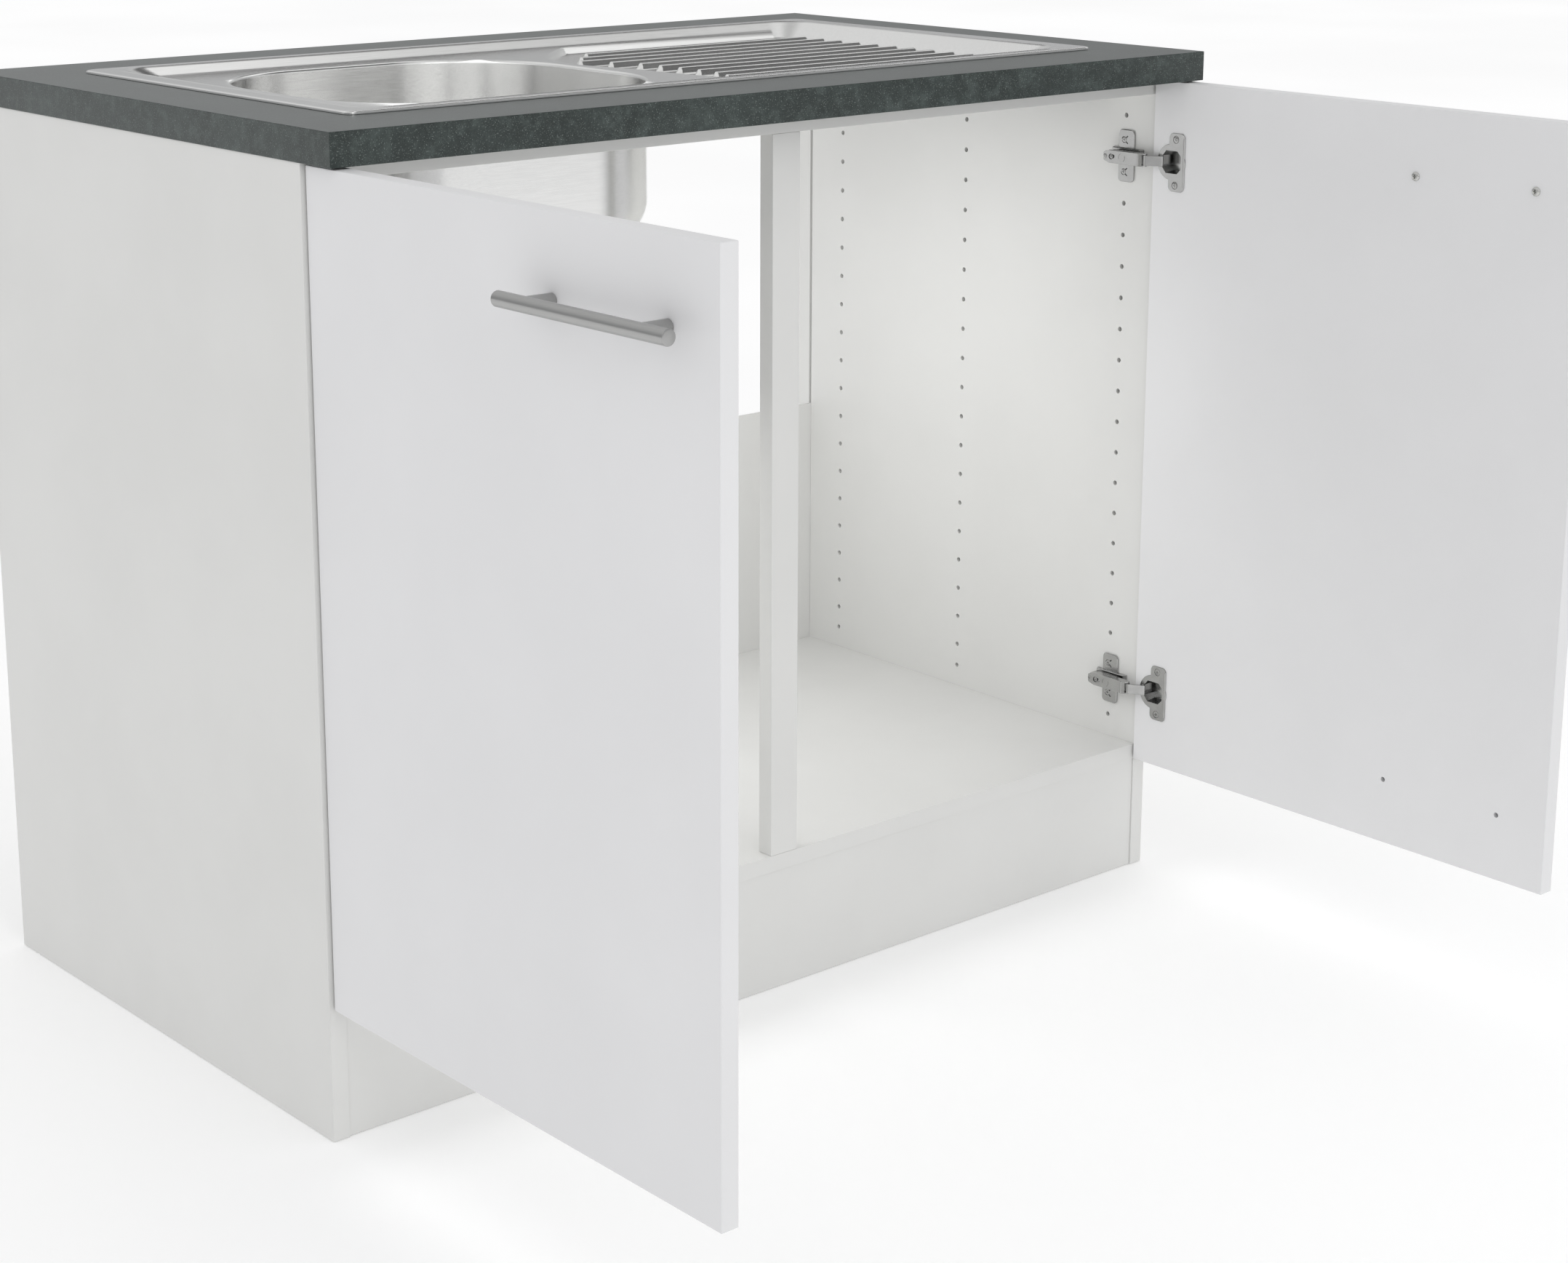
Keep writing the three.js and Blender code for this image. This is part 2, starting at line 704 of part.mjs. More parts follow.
// ---------------------------------------------------------------- doors and hinges
// Each side has a frame of its own: u runs inwards from the side panel's outer face and v runs out of
// the cabinet from its front edge. inward is +1 for the left side and -1 for the right side.
const doorOuterU = openDoorInset;
const doorInnerU = openDoorInset + doorThickness;
const cupEdgeV = openDoorLead + cupFromDoorEdge;
const cupCentreV = cupEdgeV + cupBoreDiameter / 2;
const cupPin = new THREE.Vector2(doorInnerU - cupPinBelowFace, cupEdgeV + cupPinFromBore);
const armInside = armHeight / 2 - armWall;

// Closing turns the door a quarter about this point, from its open place to its closed place.
const closingPole = new THREE.Vector2(
  (doorInnerU + closedDoorGap + doorReveal - openDoorLead) / 2,
  (doorInnerU + closedDoorGap - doorReveal + openDoorLead) / 2);

// The lever turns by leverTurn about its arm pin while it carries the cup pin from open to closed.
function armPinPlace() {
  const offset = cupPin.clone().sub(closingPole);
  const closed = new THREE.Vector2(offset.y, -offset.x).add(closingPole);
  const chord = closed.clone().sub(cupPin);
  const middle = cupPin.clone().add(closed).multiplyScalar(0.5);
  const normal = new THREE.Vector2(-chord.y, chord.x).normalize();
  const reach = chord.length() / 2 / Math.tan(THREE.MathUtils.degToRad(leverTurn) / 2);
  return middle.addScaledVector(normal, reach);
}
const armPin = armPinPlace();
const armTop = armPin.x + armAbovePin;

function plan(inward, points) {
  return points.map(([u, v]) => [inward * u, -v]);
}

function pinRod(inward, place, radius, length) {
  return rodAlongZ(radius, -length / 2, length / 2, inward * place.x, -place.y, hingePinSides);
}

function pinHole(inward, place, length) {
  return pinRod(inward, place, hingePinDiameter / 2 + hingePinClearance, length);
}

function hingePin(inward, place, length) {
  return pinRod(inward, place, hingePinDiameter / 2, length);
}

function sorted(inward, uLow, uHigh) {
  return [inward * uLow, inward * uHigh].sort((a, b) => a - b);
}

// the cross-shaped plate on the side panel, with a ridge that carries the arm and two pegs
function mountingPlate(inward) {
  const base = boardThickness;
  const holeV = -frontColumnSetback;
  const outline = roundedRectangle(
    plateWidth, plateHeight, plateCorner, -holeV - plateAheadOfHoles, 0, 2);
  const wings = extrudeAlongX(outline, ...sorted(inward, base, base + plateThickness));
  const front = holeV + ridgeAheadOfHoles;
  const rear = -armRear + 3;
  const tongueTop = base + tongueThickness;
  const tongue = extrude(
    plan(inward, [[base, front + 12], [tongueTop, front + 10], [tongueTop, rear], [base, rear - 3]]),
    -tongueHeight / 2, tongueHeight / 2);
  const ridgeTop = armTop - armWall - seat;
  const ridge = extrude(
    plan(inward, [[base, front], [ridgeTop - 4, front], [ridgeTop, front - 4], [ridgeTop, rear],
      [base, rear - 1]]),
    -armInside + seat, armInside - seat);
  const pegRadius = holeDiameter / 2 * Math.cos(Math.PI / holeSides) - seat;
  const pegs = [-1, 1].map((row) => rodAlongX(
    pegRadius, inward * (base - pegLength), inward * (base + margin), -holeV,
    row * holePitch / 2, holeSides));
  return toGeometry(join([wings, tongue, ridge, ...pegs]));
}

// the arm: a channel over the ridge, open towards the side panel, with cheeks around the arm pin
function hingeArm(inward) {
  const top = armTop;
  const cheek = top - armCheekDepth;
  const { x: pinU, y: pinV } = armPin;
  const outline = plan(inward, [
    [cheek, -armRear], [top - 2, -armRear], [top, -armRear + 3], [top, pinV - 5.2],
    [pinU + 3.1, pinV - 0.1], [pinU + 1.9, pinV + 1.4], [pinU + 0.3, pinV + 2.0],
    [pinU - 1.3, pinV + 1.7], [pinU - 2.4, pinV + 0.7], [pinU - 2.7, pinV - 2.7],
    [cheek, pinV - 5.7],
  ]);
  const body = extrude(outline, -armHeight / 2, armHeight / 2);
  const channelUs = sorted(inward, cheek - armWall, top - armWall);
  const channel = block(
    [channelUs[0], -pinV - 2 * armWall - armHeight, -armInside],
    [channelUs[1], armRear + margin, armInside]);
  return carve(body, [channel, pinHole(inward, armPin, 2 * armHeight)]);
}

// the lever: an eye on each pin and a bent plate between them that hooks into the cup
function hingeLever(inward) {
  const half = armInside - seat;
  const eye = (place, radius) => rodAlongZ(radius, -half, half, inward * place.x, -place.y, 12);
  const plate = extrude(plan(inward, [
    [armPin.x + 1.9, armPin.y - 1.4], [armPin.x + 3.5, armPin.y + 1.2],
    [armPin.x + 3.3, armPin.y + 3.5], [cupPin.x + 3.6, cupPin.y + 3.9],
    [cupPin.x + 2.2, cupPin.y + 4.5], [cupPin.x + 0.4, cupPin.y + 1.6],
    [cupPin.x + 0.9, cupPin.y + 1.1], [cupPin.x + 1.9, cupPin.y + 2.6],
    [armPin.x + 0.3, armPin.y + 3.9], [armPin.x - 1.4, armPin.y + 1.5],
  ]), -half, half);
  const body = join([eye(armPin, armEyeRadius), eye(cupPin, cupEyeRadius), plate]);
  const holes = [armPin, cupPin].map((place) => pinHole(inward, place, 2 * armHeight));
  return toGeometry(cut(body, holes));
}

// the pocket's outline: a slot around the lever's eye that opens into an octagon
function cupPocket() {
  const near = -(cupPin.y - armEyeRadius - seat);
  const shoulder = -(cupPin.y + armEyeRadius);
  const far = -(cupCentreV + pocketReach);
  const slot = armInside + seat;
  const high = pocketHeight / 2;
  const side = high - pocketCorner;
  return [
    [near, -slot], [near, slot], [shoulder, slot], [shoulder - slot + 1, high],
    [far + pocketCorner, high], [far, side], [far, -side], [far + pocketCorner, -high],
    [shoulder - slot + 1, -high], [shoulder, -slot],
  ];
}

// the cup: a disc pressed into the door's bore, with a winged flange on the door's inner face
function hingeCup(inward) {
  const radius = cupBoreDiameter / 2 - seat;
  const face = doorInnerU;
  const flange = sorted(inward, face, face + cupFlangeThickness);
  const disc = rodAlongX(
    radius, inward * (face - cupBoreDepth + seat), inward * (face + cupFlangeThickness / 2),
    -cupCentreV, 0, roundSides);
  const rim = rodAlongX(cupRimDiameter / 2, ...flange, -cupCentreV, 0, roundSides);
  const wingWidth = cupWingStart + cupWingEnd;
  const wingCentre = -(cupCentreV + (cupWingEnd - cupWingStart) / 2);
  const wing = extrudeAlongX(
    roundedRectangle(wingWidth, cupWingHeight, cupWingCorner, wingCentre, 0, 3), ...flange);
  const top = face + cupFlangeThickness + margin;
  const pocket = extrudeAlongX(cupPocket(), ...sorted(inward, face - pocketDepth, top));
  const body = join([disc, rim, wing]);
  return toGeometry(cut(body, [pocket, pinHole(inward, cupPin, cupPinLength + 2 * seat)]));
}

function hinge(name, inward, frame, z) {
  const parts = new THREE.Group();
  parts.position.z = z;
  frame.add(parts);
  addPiece(`${name}_hinge_plate`, mountingPlate(inward), hingeNickel, parts);
  addPiece(`${name}_hinge_arm`, hingeArm(inward), hingeNickel, parts);
  addPiece(`${name}_hinge_lever`, hingeLever(inward), hingeNickel, parts);
  addPiece(`${name}_hinge_cup`, hingeCup(inward), hingeNickel, parts);
  addPiece(`${name}_arm_pin`, hingePin(inward, armPin, armHeight), screwZinc, parts);
  addPiece(`${name}_cup_pin`, hingePin(inward, cupPin, cupPinLength), screwZinc, parts);
}

const handleFarV = openDoorLead + doorWidth - handleFromFreeEdge;
const handleNearV = handleFarV - handleHoleSpacing;

function doorLeaf(inward) {
  const xs = sorted(inward, doorOuterU, doorInnerU);
  const leaf = block([xs[0], -(openDoorLead + doorWidth), doorBottom], [xs[1], -openDoorLead, doorTop]);
  const past = inward * (doorInnerU + margin);
  const bores = [lowerHingeZ, upperHingeZ].map((z) => rodAlongX(
    cupBoreDiameter / 2, inward * (doorInnerU - cupBoreDepth), past, -cupCentreV, z, roundSides));
  const holes = [handleNearV, handleFarV].flatMap((v) => [
    rodAlongX(handleHoleDiameter / 2, inward * (doorOuterU - margin), past, -v, handleZ, 8),
    rodAlongX(
      handleHoleDiameter / 2, inward * (doorInnerU - spareHoleDepth), past, -v, spareHoleZ, 8),
  ]);
  return carve(leaf, [...bores, ...holes]);
}

function handleBar(inward) {
  const x = inward * (doorOuterU - handleStandOff);
  const y = -(handleNearV + handleFarV) / 2;
  const radius = handleBarDiameter / 2;
  return new THREE.CylinderGeometry(radius, radius, handleBarLength, 16).translate(x, y, handleZ);
}

function handleLeg(inward, v) {
  const barX = inward * (doorOuterU - handleStandOff);
  const face = inward * doorOuterU;
  const saddle = inward * (doorOuterU - handleStandOff + handleBarDiameter / 4);
  const leg = rodAlongX(handleLegDiameter / 2, face, saddle, -v, handleZ, 16);
  const radius = handleBarDiameter / 2 + seat;
  const bar = new THREE.CylinderGeometry(radius, radius, handleLegDiameter * 2, 16)
    .translate(barX, -v, handleZ);
  const depth = inward * (doorOuterU - handleScrewGrip - seat);
  const bore = rodAlongX(
    handleScrewDiameter / 2 + seat, depth, face + inward * margin, -v, handleZ, 8);
  return carve(leg, [bar, bore]);
}

function handleScrew(inward, v) {
  const face = inward * doorInnerU;
  const head = rodAlongX(
    screwHeadDiameter / 2, face, face + inward * screwHeadHeight, -v, handleZ, 12);
  const tip = inward * (doorOuterU - handleScrewGrip);
  const shank = rodAlongX(
    handleScrewDiameter / 2, tip, face + inward * screwHeadHeight / 2, -v, handleZ, 8);
  return toGeometry(join([head, shank]));
}

function doorSide(side, inward) {
  const frame = new THREE.Group();
  frame.position.set(-inward * sideOuterX, frontY, 0);
  unit.add(frame);
  addPiece(`${side}_door`, doorLeaf(inward), doorWhite, frame);
  hinge(`${side}_lower`, inward, frame, lowerHingeZ);
  hinge(`${side}_upper`, inward, frame, upperHingeZ);
  addPiece(`${side}_handle_bar`, handleBar(inward), brushedSteel, frame);
  const places = { inner: handleNearV, outer: handleFarV };
  for (const [place, v] of Object.entries(places)) {
    addPiece(`${side}_handle_leg_${place}`, handleLeg(inward, v), brushedSteel, frame);
    addPiece(`${side}_handle_screw_${place}`, handleScrew(inward, v), screwZinc, frame);
  }
}

// ---------------------------------------------------------------- the whole unit
addPiece('left_side', sidePanel(-1), whiteBoard);
addPiece('right_side', sidePanel(1), whiteBoard);
addPiece('bottom_board', bottomBoard(), whiteBoard);
addPiece('plinth', plinth(), whiteBoard);
addPiece('front_rail', rail(frontY), whiteBoard);
addPiece('rear_rail', rail(backY - railDepth), whiteBoard);
addPiece('centre_post', centrePost(), whiteBoard);
addPiece('back_panel', backPanel(), whiteBoard);
addPiece('worktop', worktop(), stoneLaminate);
addPiece('sink', sink(), brushedSteel);
addPiece('sink_seal', sinkSeal(), sealRubber);
clampPlaces().forEach((place, index) => {
  addPiece(`sink_clamp_${index + 1}`, sinkClamp(place), screwZinc);
});
addPiece('strainer_body', strainerBody(), brushedSteel);
addPiece('drain_gasket', drainGasket(), sealRubber);
addPiece('ring_nut', ringNut(), wastePlastic);
addPiece('outlet_tail', outletTail(), wastePlastic);
addPiece('strainer_basket', strainerBasket(), brushedSteel);
addPiece('overflow_cover', overflowCover(), brushedSteel);
addPiece('overflow_elbow', overflowElbow(), wastePlastic);
addPiece('overflow_hose', overflowHose(), wastePlastic);
doorSide('left', 1);
doorSide('right', -1);

export default unit;
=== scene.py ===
# %% [markdown]
# # Kitchen sink unit: its looks
# The unit is a white two-door base cabinet, a worktop of dark stone laminate and an inset sink of
# brushed steel with a bowl, a ribbed drainer and a strainer waste. The construction is already made
# and packed, so this script only dresses it. Each piece below is modelled again with the rounded
# edges, pressings and screws that the eye expects, stands exactly where its plain solid stands, and
# rides on the same body, so that the doors still swing. Lengths are written in millimetres.

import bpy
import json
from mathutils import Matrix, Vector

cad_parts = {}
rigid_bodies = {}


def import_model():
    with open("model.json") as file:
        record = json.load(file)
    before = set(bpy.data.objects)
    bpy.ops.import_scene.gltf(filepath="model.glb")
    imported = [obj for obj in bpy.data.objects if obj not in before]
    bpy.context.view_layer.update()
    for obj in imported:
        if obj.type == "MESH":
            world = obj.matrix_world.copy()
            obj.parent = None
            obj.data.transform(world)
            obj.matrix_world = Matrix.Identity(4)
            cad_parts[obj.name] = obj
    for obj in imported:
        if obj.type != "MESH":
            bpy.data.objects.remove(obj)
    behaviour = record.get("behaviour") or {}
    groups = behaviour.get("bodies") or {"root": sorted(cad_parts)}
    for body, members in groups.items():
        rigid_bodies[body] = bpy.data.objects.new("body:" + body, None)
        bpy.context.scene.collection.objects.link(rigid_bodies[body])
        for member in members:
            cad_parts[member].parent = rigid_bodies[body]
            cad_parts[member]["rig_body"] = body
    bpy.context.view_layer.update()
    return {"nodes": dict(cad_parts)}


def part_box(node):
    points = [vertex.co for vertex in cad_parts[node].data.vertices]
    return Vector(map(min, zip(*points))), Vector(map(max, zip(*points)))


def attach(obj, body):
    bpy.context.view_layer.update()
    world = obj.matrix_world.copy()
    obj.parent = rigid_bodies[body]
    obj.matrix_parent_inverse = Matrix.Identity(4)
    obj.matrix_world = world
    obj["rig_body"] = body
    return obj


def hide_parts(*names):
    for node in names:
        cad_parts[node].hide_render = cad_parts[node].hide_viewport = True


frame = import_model()

# %% Tools used all through the script
import json
import math

import bmesh
import bpy
from mathutils import Matrix, Vector
from mathutils.geometry import delaunay_2d_cdt

MM = 0.001
scene = bpy.context.scene
print("nodes in the frame:", len(frame["nodes"]))


def span(node):
    """The lowest and highest corner of a construction piece, in millimetres."""
    low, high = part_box(node)
    return low / MM, high / MM


def body_of(node):
    return frame["nodes"][node]["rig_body"]


# %% [markdown]
# ## Camera
# The photograph is a catalogue view from the front left, a little above the worktop. Its camera is
# level and shows the low doors by a very large upward shift of the picture. A shift like that
# spoils every other view, so here the camera is tilted down instead. Its place, turn and lens were
# worked out from the same corners of the cabinet, and only a small shift remains.

# %% Camera
CAMERA_PLACE = (-1689.2, -1927.6, 1114.5)
CAMERA_TURN = 40.39          # degrees from the wall direction towards the right
CAMERA_TILT = 13.62          # degrees below level
CAMERA_LENS = 66.87
CAMERA_SHIFT = (0.030, -0.10)


def add_camera():
    data = bpy.data.cameras.new("photo_camera")
    data.lens = CAMERA_LENS
    data.shift_x, data.shift_y = CAMERA_SHIFT
    camera = bpy.data.objects.new("photo_camera", data)
    scene.collection.objects.link(camera)
    camera.location = Vector(CAMERA_PLACE) * MM
    turn, tilt = math.radians(CAMERA_TURN), math.radians(CAMERA_TILT)
    view = Vector((
        math.sin(turn) * math.cos(tilt), math.cos(turn) * math.cos(tilt), -math.sin(tilt)))
    camera.rotation_euler = view.to_track_quat("-Z", "Y").to_euler()
    scene.camera = camera
    return camera


camera = add_camera()
print("camera at", [round(value, 3) for value in camera.location])

# %% [markdown]
# ## Shader maths as plain expressions
# A procedural finish is a sum of noises, ramps and masks. Wiring each Math node by hand hides the
# idea, so one small class wraps a socket and lets Python's own operators add the nodes. A second
# class holds the material. Its method `node` adds a node of any other kind, and its other methods
# are short names for the few kinds that every finish here uses.

# %% Signals and paints
MOTTLE = (0.3, 0.7)          # where a noise starts and ends its change from one colour to the other
OBJECT_POINT = 3             # the Texture Coordinate node's output "Object"


def srgb(red, green, blue):
    """A colour as seen on screen, 0 to 255, turned into the linear light that shaders use."""
    linear = []
    for channel in (red, green, blue):
        value = channel / 255
        linear.append(value / 12.92 if value <= 0.04045 else ((value + 0.055) / 1.055) ** 2.4)
    return (*linear, 1.0)


class Signal:
    """A socket in a material that can be used in sums."""

    def __init__(self, paint, socket):
        self.paint = paint
        self.socket = socket

    def maths(self, operation, left, right):
        return self.paint.node("Math", {"operation": operation}, {0: left, 1: right})

    def __add__(self, other):
        return self.maths("ADD", self, other)

    def __radd__(self, other):
        return self.maths("ADD", other, self)

    def __sub__(self, other):
        return self.maths("SUBTRACT", self, other)

    def __rsub__(self, other):
        return self.maths("SUBTRACT", other, self)

    def __mul__(self, other):
        return self.maths("MULTIPLY", self, other)

    def __rmul__(self, other):
        return self.maths("MULTIPLY", other, self)

    def fade(self, start, end):
        """0 below start, 1 above end, and a smooth rise between them."""
        settings = {"interpolation_type": "SMOOTHSTEP"}
        values = {"Value": self, "From Min": start, "From Max": end}
        return self.paint.node("MapRange", settings, values)


class Paint:
    """A material, or a world, that nodes are added to."""

    def __init__(self, owner):
        self.owner = owner
        self.owner.use_nodes = True
        self.tree = self.owner.node_tree
        self.tree.nodes.clear()

    def node(self, kind, settings=None, values=None, out=0):
        node = self.tree.nodes.new("ShaderNode" + kind)
        for name, value in (settings or {}).items():
            setattr(node, name, value)
        for name, value in (values or {}).items():
            if isinstance(value, Signal):
                self.tree.links.new(value.socket, node.inputs[name])
            else:
                node.inputs[name].default_value = value
        return Signal(self, node.outputs[out]) if node.outputs else None

    def mix(self, factor, first, second):
        """A colour between two others; 6, 7 and out=2 are the Mix node's sockets for colour."""
        return self.node("Mix", {"data_type": "RGBA"}, {0: factor, 6: first, 7: second}, out=2)

    def mottle(self, noise, first, second):
        """Two close colours that run into each other with a noise."""
        return self.mix(noise.fade(*MOTTLE), first, second)

    def place(self, stretch=(1, 1, 1)):
        """The surface point in metres in the unit's own frame, stretched along each axis."""
        point = self.node("TexCoord", out=OBJECT_POINT)
        return self.node("VectorMath", {"operation": "MULTIPLY"}, {0: point, 1: stretch})

    def noise(self, point, scale, detail, roughness=0.5):
        values = {"Vector": point, "Scale": scale, "Detail": detail, "Roughness": roughness}
        return self.node("TexNoise", None, values)

    def bump(self, height, depth, strength):
        """A fine relief: height runs from 0 to 1, and depth is its real depth in metres."""
        return self.node("Bump", None, {"Height": height, "Distance": depth, "Strength": strength})

    def finish(self, **values):
        """The surface itself: values are the shader's sockets, with _ for a space."""
        sockets = {name.replace("_", " ").title().replace("Ior", "IOR"): value
                   for name, value in values.items()}
        shader = self.node("BsdfPrincipled", None, sockets)
        self.node("OutputMaterial", None, {"Surface": shader})
        return self.owner


# %% [markdown]
# ## White boards and doors
# The carcass boards are chipboard faced with white melamine, which has a very fine orange-peel
# pressed into it. The doors have a smoother matt foil with a cooler white. Both could be a single
# flat white, but a real panel varies a little in tone and gloss, and its relief breaks up the
# highlights, so each finish is built from three noises: two broad ones for tone and gloss, and a
# fine one for the relief.

# %% White finishes
def new_paint(name):
    return Paint(bpy.data.materials.new(name))


def white_board():
    paint = new_paint("white_melamine_board")
    point = paint.place()
    cloud = paint.noise(point, 7.0, 4.0)
    peel = paint.noise(point, 1900.0, 2.0)
    tone = paint.mottle(cloud, srgb(220, 220, 218), srgb(223, 223, 221))
    rough = 0.40 + 0.08 * paint.noise(point, 60.0, 3.0)
    return paint.finish(
        base_color=tone, roughness=rough, specular_ior_level=0.42,
        normal=paint.bump(peel, 0.00002, 0.5))


def door_white():
    paint = new_paint("matt_white_door")
    point = paint.place()
    cloud = paint.noise(point, 5.0, 4.0)
    silk = paint.noise(point, 2600.0, 2.0)
    tone = paint.mottle(cloud, srgb(227, 227, 228), srgb(230, 230, 231))
    rough = 0.50 + 0.08 * paint.noise(point, 45.0, 3.0)
    return paint.finish(
        base_color=tone, roughness=rough, specular_ior_level=0.38,
        normal=paint.bump(silk, 0.000015, 0.45))


BOARD_WHITE = white_board()
DOOR_WHITE = door_white()
print("white finishes:", BOARD_WHITE.name, DOOR_WHITE.name)

# %% [markdown]
# ## Stone laminate
# The worktop's laminate is printed and pressed to look like fine dark concrete: cloudy patches of
# grey-green, small paler blotches, and a dust of light and dark specks. Five noises at five scales
# make it. The relief follows the blotches and the grain, as in the pressed laminate. A clear hard
# overlay lies on the print, which is why the top looks paler than the edges at a low angle.

# %% Stone laminate
STONE_DARK = srgb(41, 49, 47)
STONE_MIDDLE = srgb(52, 61, 59)
STONE_LIGHT = srgb(76, 86, 83)
STONE_PORE = srgb(36, 43, 41)
PALE_SPECK = srgb(134, 142, 138)
DARK_SPECK = srgb(26, 31, 30)


def stone_laminate():
    paint = new_paint("dark_stone_laminate")
    point = paint.place()
    bend = paint.noise(point, 9.0, 3.0)
    cloud = paint.noise(point, 14.0, 6.0, 0.6)
    blotch = paint.noise(point, 80.0, 5.0, 0.7)
    grain = paint.noise(point, 330.0, 4.0, 0.7)
    speck = paint.noise(point, 900.0, 2.0)
    base = paint.mix((0.7 * cloud + 0.3 * bend).fade(0.36, 0.64), STONE_DARK, STONE_MIDDLE)
    base = paint.mix(blotch.fade(0.46, 0.66) * 0.55, base, STONE_LIGHT)
    base = paint.mix((1 - blotch).fade(0.52, 0.70) * 0.5, base, STONE_PORE)
    base = paint.mix(grain.fade(0.5, 0.75) * 0.4, base, STONE_LIGHT)
    base = paint.mix(speck.fade(0.60, 0.70) * 0.55, base, PALE_SPECK)
    base = paint.mix((1 - speck).fade(0.60, 0.72) * 0.6, base, DARK_SPECK)
    rough = 0.33 + 0.16 * blotch
    relief = 0.6 * grain + 0.4 * blotch
    return paint.finish(
        base_color=base, roughness=rough, specular_ior_level=0.15, coat_weight=1.0,
        coat_roughness=0.35, coat_ior=1.3, normal=paint.bump(relief, 0.00008, 0.6))


STONE = stone_laminate()
print("stone finish:", STONE.name, "with", len(STONE.node_tree.nodes), "nodes")

# %% [markdown]
# ## Brushed and plated metals
# The sink's steel is brushed along its length, the handle along its bar. Brushing is thousands of
# fine scratches, so the noise is squeezed across the brushing direction and stretched along it, and
# it drives the roughness and a very small relief. The hinges and screws are plated and nearly
# smooth, with only a trace of tumbling marks. The steel also blurs highlights across the brushing,
# and a constant anisotropy does that: turned upright for the sink, so that its bowl shows the
# upright bright and dark bands of a drawn and brushed wall.

# %% Metals
def darker(colour, share):
    return tuple(channel * share for channel in colour[:3]) + (1.0,)


def brushed(name, colour, stretch, rough_low, rough_high, anisotropy, turn=0.0):
    paint = new_paint(name)
    lines = paint.noise(paint.place(stretch), 1.0, 3.0, 0.6)
    cloud = paint.noise(paint.place(), 16.0, 3.0)
    tone = paint.mottle(lines, darker(colour, 0.93), colour)
    rough = rough_low + (rough_high - rough_low) * (0.6 * lines + 0.4 * cloud)
    return paint.finish(
        base_color=tone, metallic=1.0, roughness=rough, anisotropic=anisotropy,
        anisotropic_rotation=turn, normal=paint.bump(lines, 0.000004, 0.1))


def plated(name, colour, rough_low, rough_high):
    paint = new_paint(name)
    point = paint.place()
    cloud = paint.noise(point, 90.0, 4.0)
    pits = paint.noise(point, 1800.0, 2.0)
    tone = paint.mottle(cloud, darker(colour, 0.9), colour)
    rough = rough_low + (rough_high - rough_low) * cloud
    return paint.finish(
        base_color=tone, metallic=1.0, roughness=rough, normal=paint.bump(pits, 0.00001, 0.3))


SINK_STEEL = brushed(
    "brushed_sink_steel", srgb(238, 238, 237), (40, 900, 900), 0.20, 0.28, 0.6, 0.25)
HANDLE_STEEL = brushed(
    "brushed_handle_steel", srgb(176, 176, 175), (2400, 60, 2400), 0.24, 0.40, 0.4)
NICKEL = plated("hinge_nickel", srgb(182, 182, 181), 0.14, 0.26)
ZINC = plated("screw_zinc", srgb(205, 205, 202), 0.20, 0.34)
print("metal finishes:", *[metal.name for metal in (SINK_STEEL, HANDLE_STEEL, NICKEL, ZINC)])

# %% [markdown]
# ## Rubber and moulded plastic
# The sink's seal and the drain's gasket are black rubber, dull and slightly dusty. The nut, the
# outlet and the overflow fittings are white moulded plastic with a satin skin.

# %% Rubber and plastic
def dull(name, dark, light, rough, relief):
    paint = new_paint(name)
    point = paint.place()
    cloud = paint.noise(point, 35.0, 4.0)
    skin = paint.noise(point, 1300.0, 3.0)
    tone = paint.mottle(cloud, dark, light)
    return paint.finish(
        base_color=tone, roughness=rough + 0.1 * cloud, normal=paint.bump(skin, relief, 0.5))


RUBBER = dull("black_seal_rubber", srgb(44, 45, 45), srgb(58, 59, 58), 0.68, 0.00004)
PLASTIC = dull("white_waste_plastic", srgb(222, 222, 217), srgb(228, 228, 224), 0.38, 0.00002)
print("finishes made:", len(bpy.data.materials))

# %% [markdown]
# ## A small kit of shapes
# Most pieces here are one of four things: a board with softened edges, a turned part, an outline
# pushed along a line, or a skin drawn through rings of points. Short functions make them as meshes
# in millimetres. Holes and joins are real ones, made with Blender's exact boolean, so every piece
# stays one closed body. A weighted-normal modifier keeps wide faces flat beside round edges.

# %% Rings, skins and outlines
NO_RADIUS = 1e-6             # a smaller radius counts as a point on the axis
MITRE_LIMIT = 0.35           # keeps the inset corner of a sharp bend from running away


def band(shape, lower, upper):
    """Faces between two rings; a ring of one point is a tip."""
    count = max(len(lower), len(upper))
    for here in range(count):
        after = (here + 1) % count
        corners = [lower[here % len(lower)], lower[after % len(lower)],
                   upper[after % len(upper)], upper[here % len(upper)]]
        shape.faces.new(list(dict.fromkeys(corners)))


def skin(rings, closed=False, caps=True):
    """A mesh drawn through rings of points, closed on itself or capped at both ends."""
    shape = bmesh.new()
    made = [[shape.verts.new(point) for point in ring] for ring in rings]
    if closed:
        made.append(made[0])
    for lower, upper in zip(made, made[1:]):
        band(shape, lower, upper)
    if caps and not closed:
        for ring in (made[0], made[-1]):
            if len(ring) > 2:
                shape.faces.new(ring)
    bmesh.ops.recalc_face_normals(shape, faces=shape.faces[:])
    return shape


def circle(radius, height, sides):
    if radius < NO_RADIUS:
        return [(0.0, 0.0, height)]
    angles = [2 * math.pi * step / sides for step in range(sides)]
    return [(radius * math.cos(angle), radius * math.sin(angle), height) for angle in angles]


def turned(profile, sides=48):
    """A turned part about Z, from (radius, height) points; off the axis it makes a ring."""
    rings = [circle(radius, height, sides) for radius, height in profile]
    return skin(rings, closed=profile[0][0] > NO_RADIUS, caps=False)


def plug(radius, low, high, sides):
    """A plain cylinder about Z."""
    return turned([(0, low), (radius, low), (radius, high), (0, high)], sides)


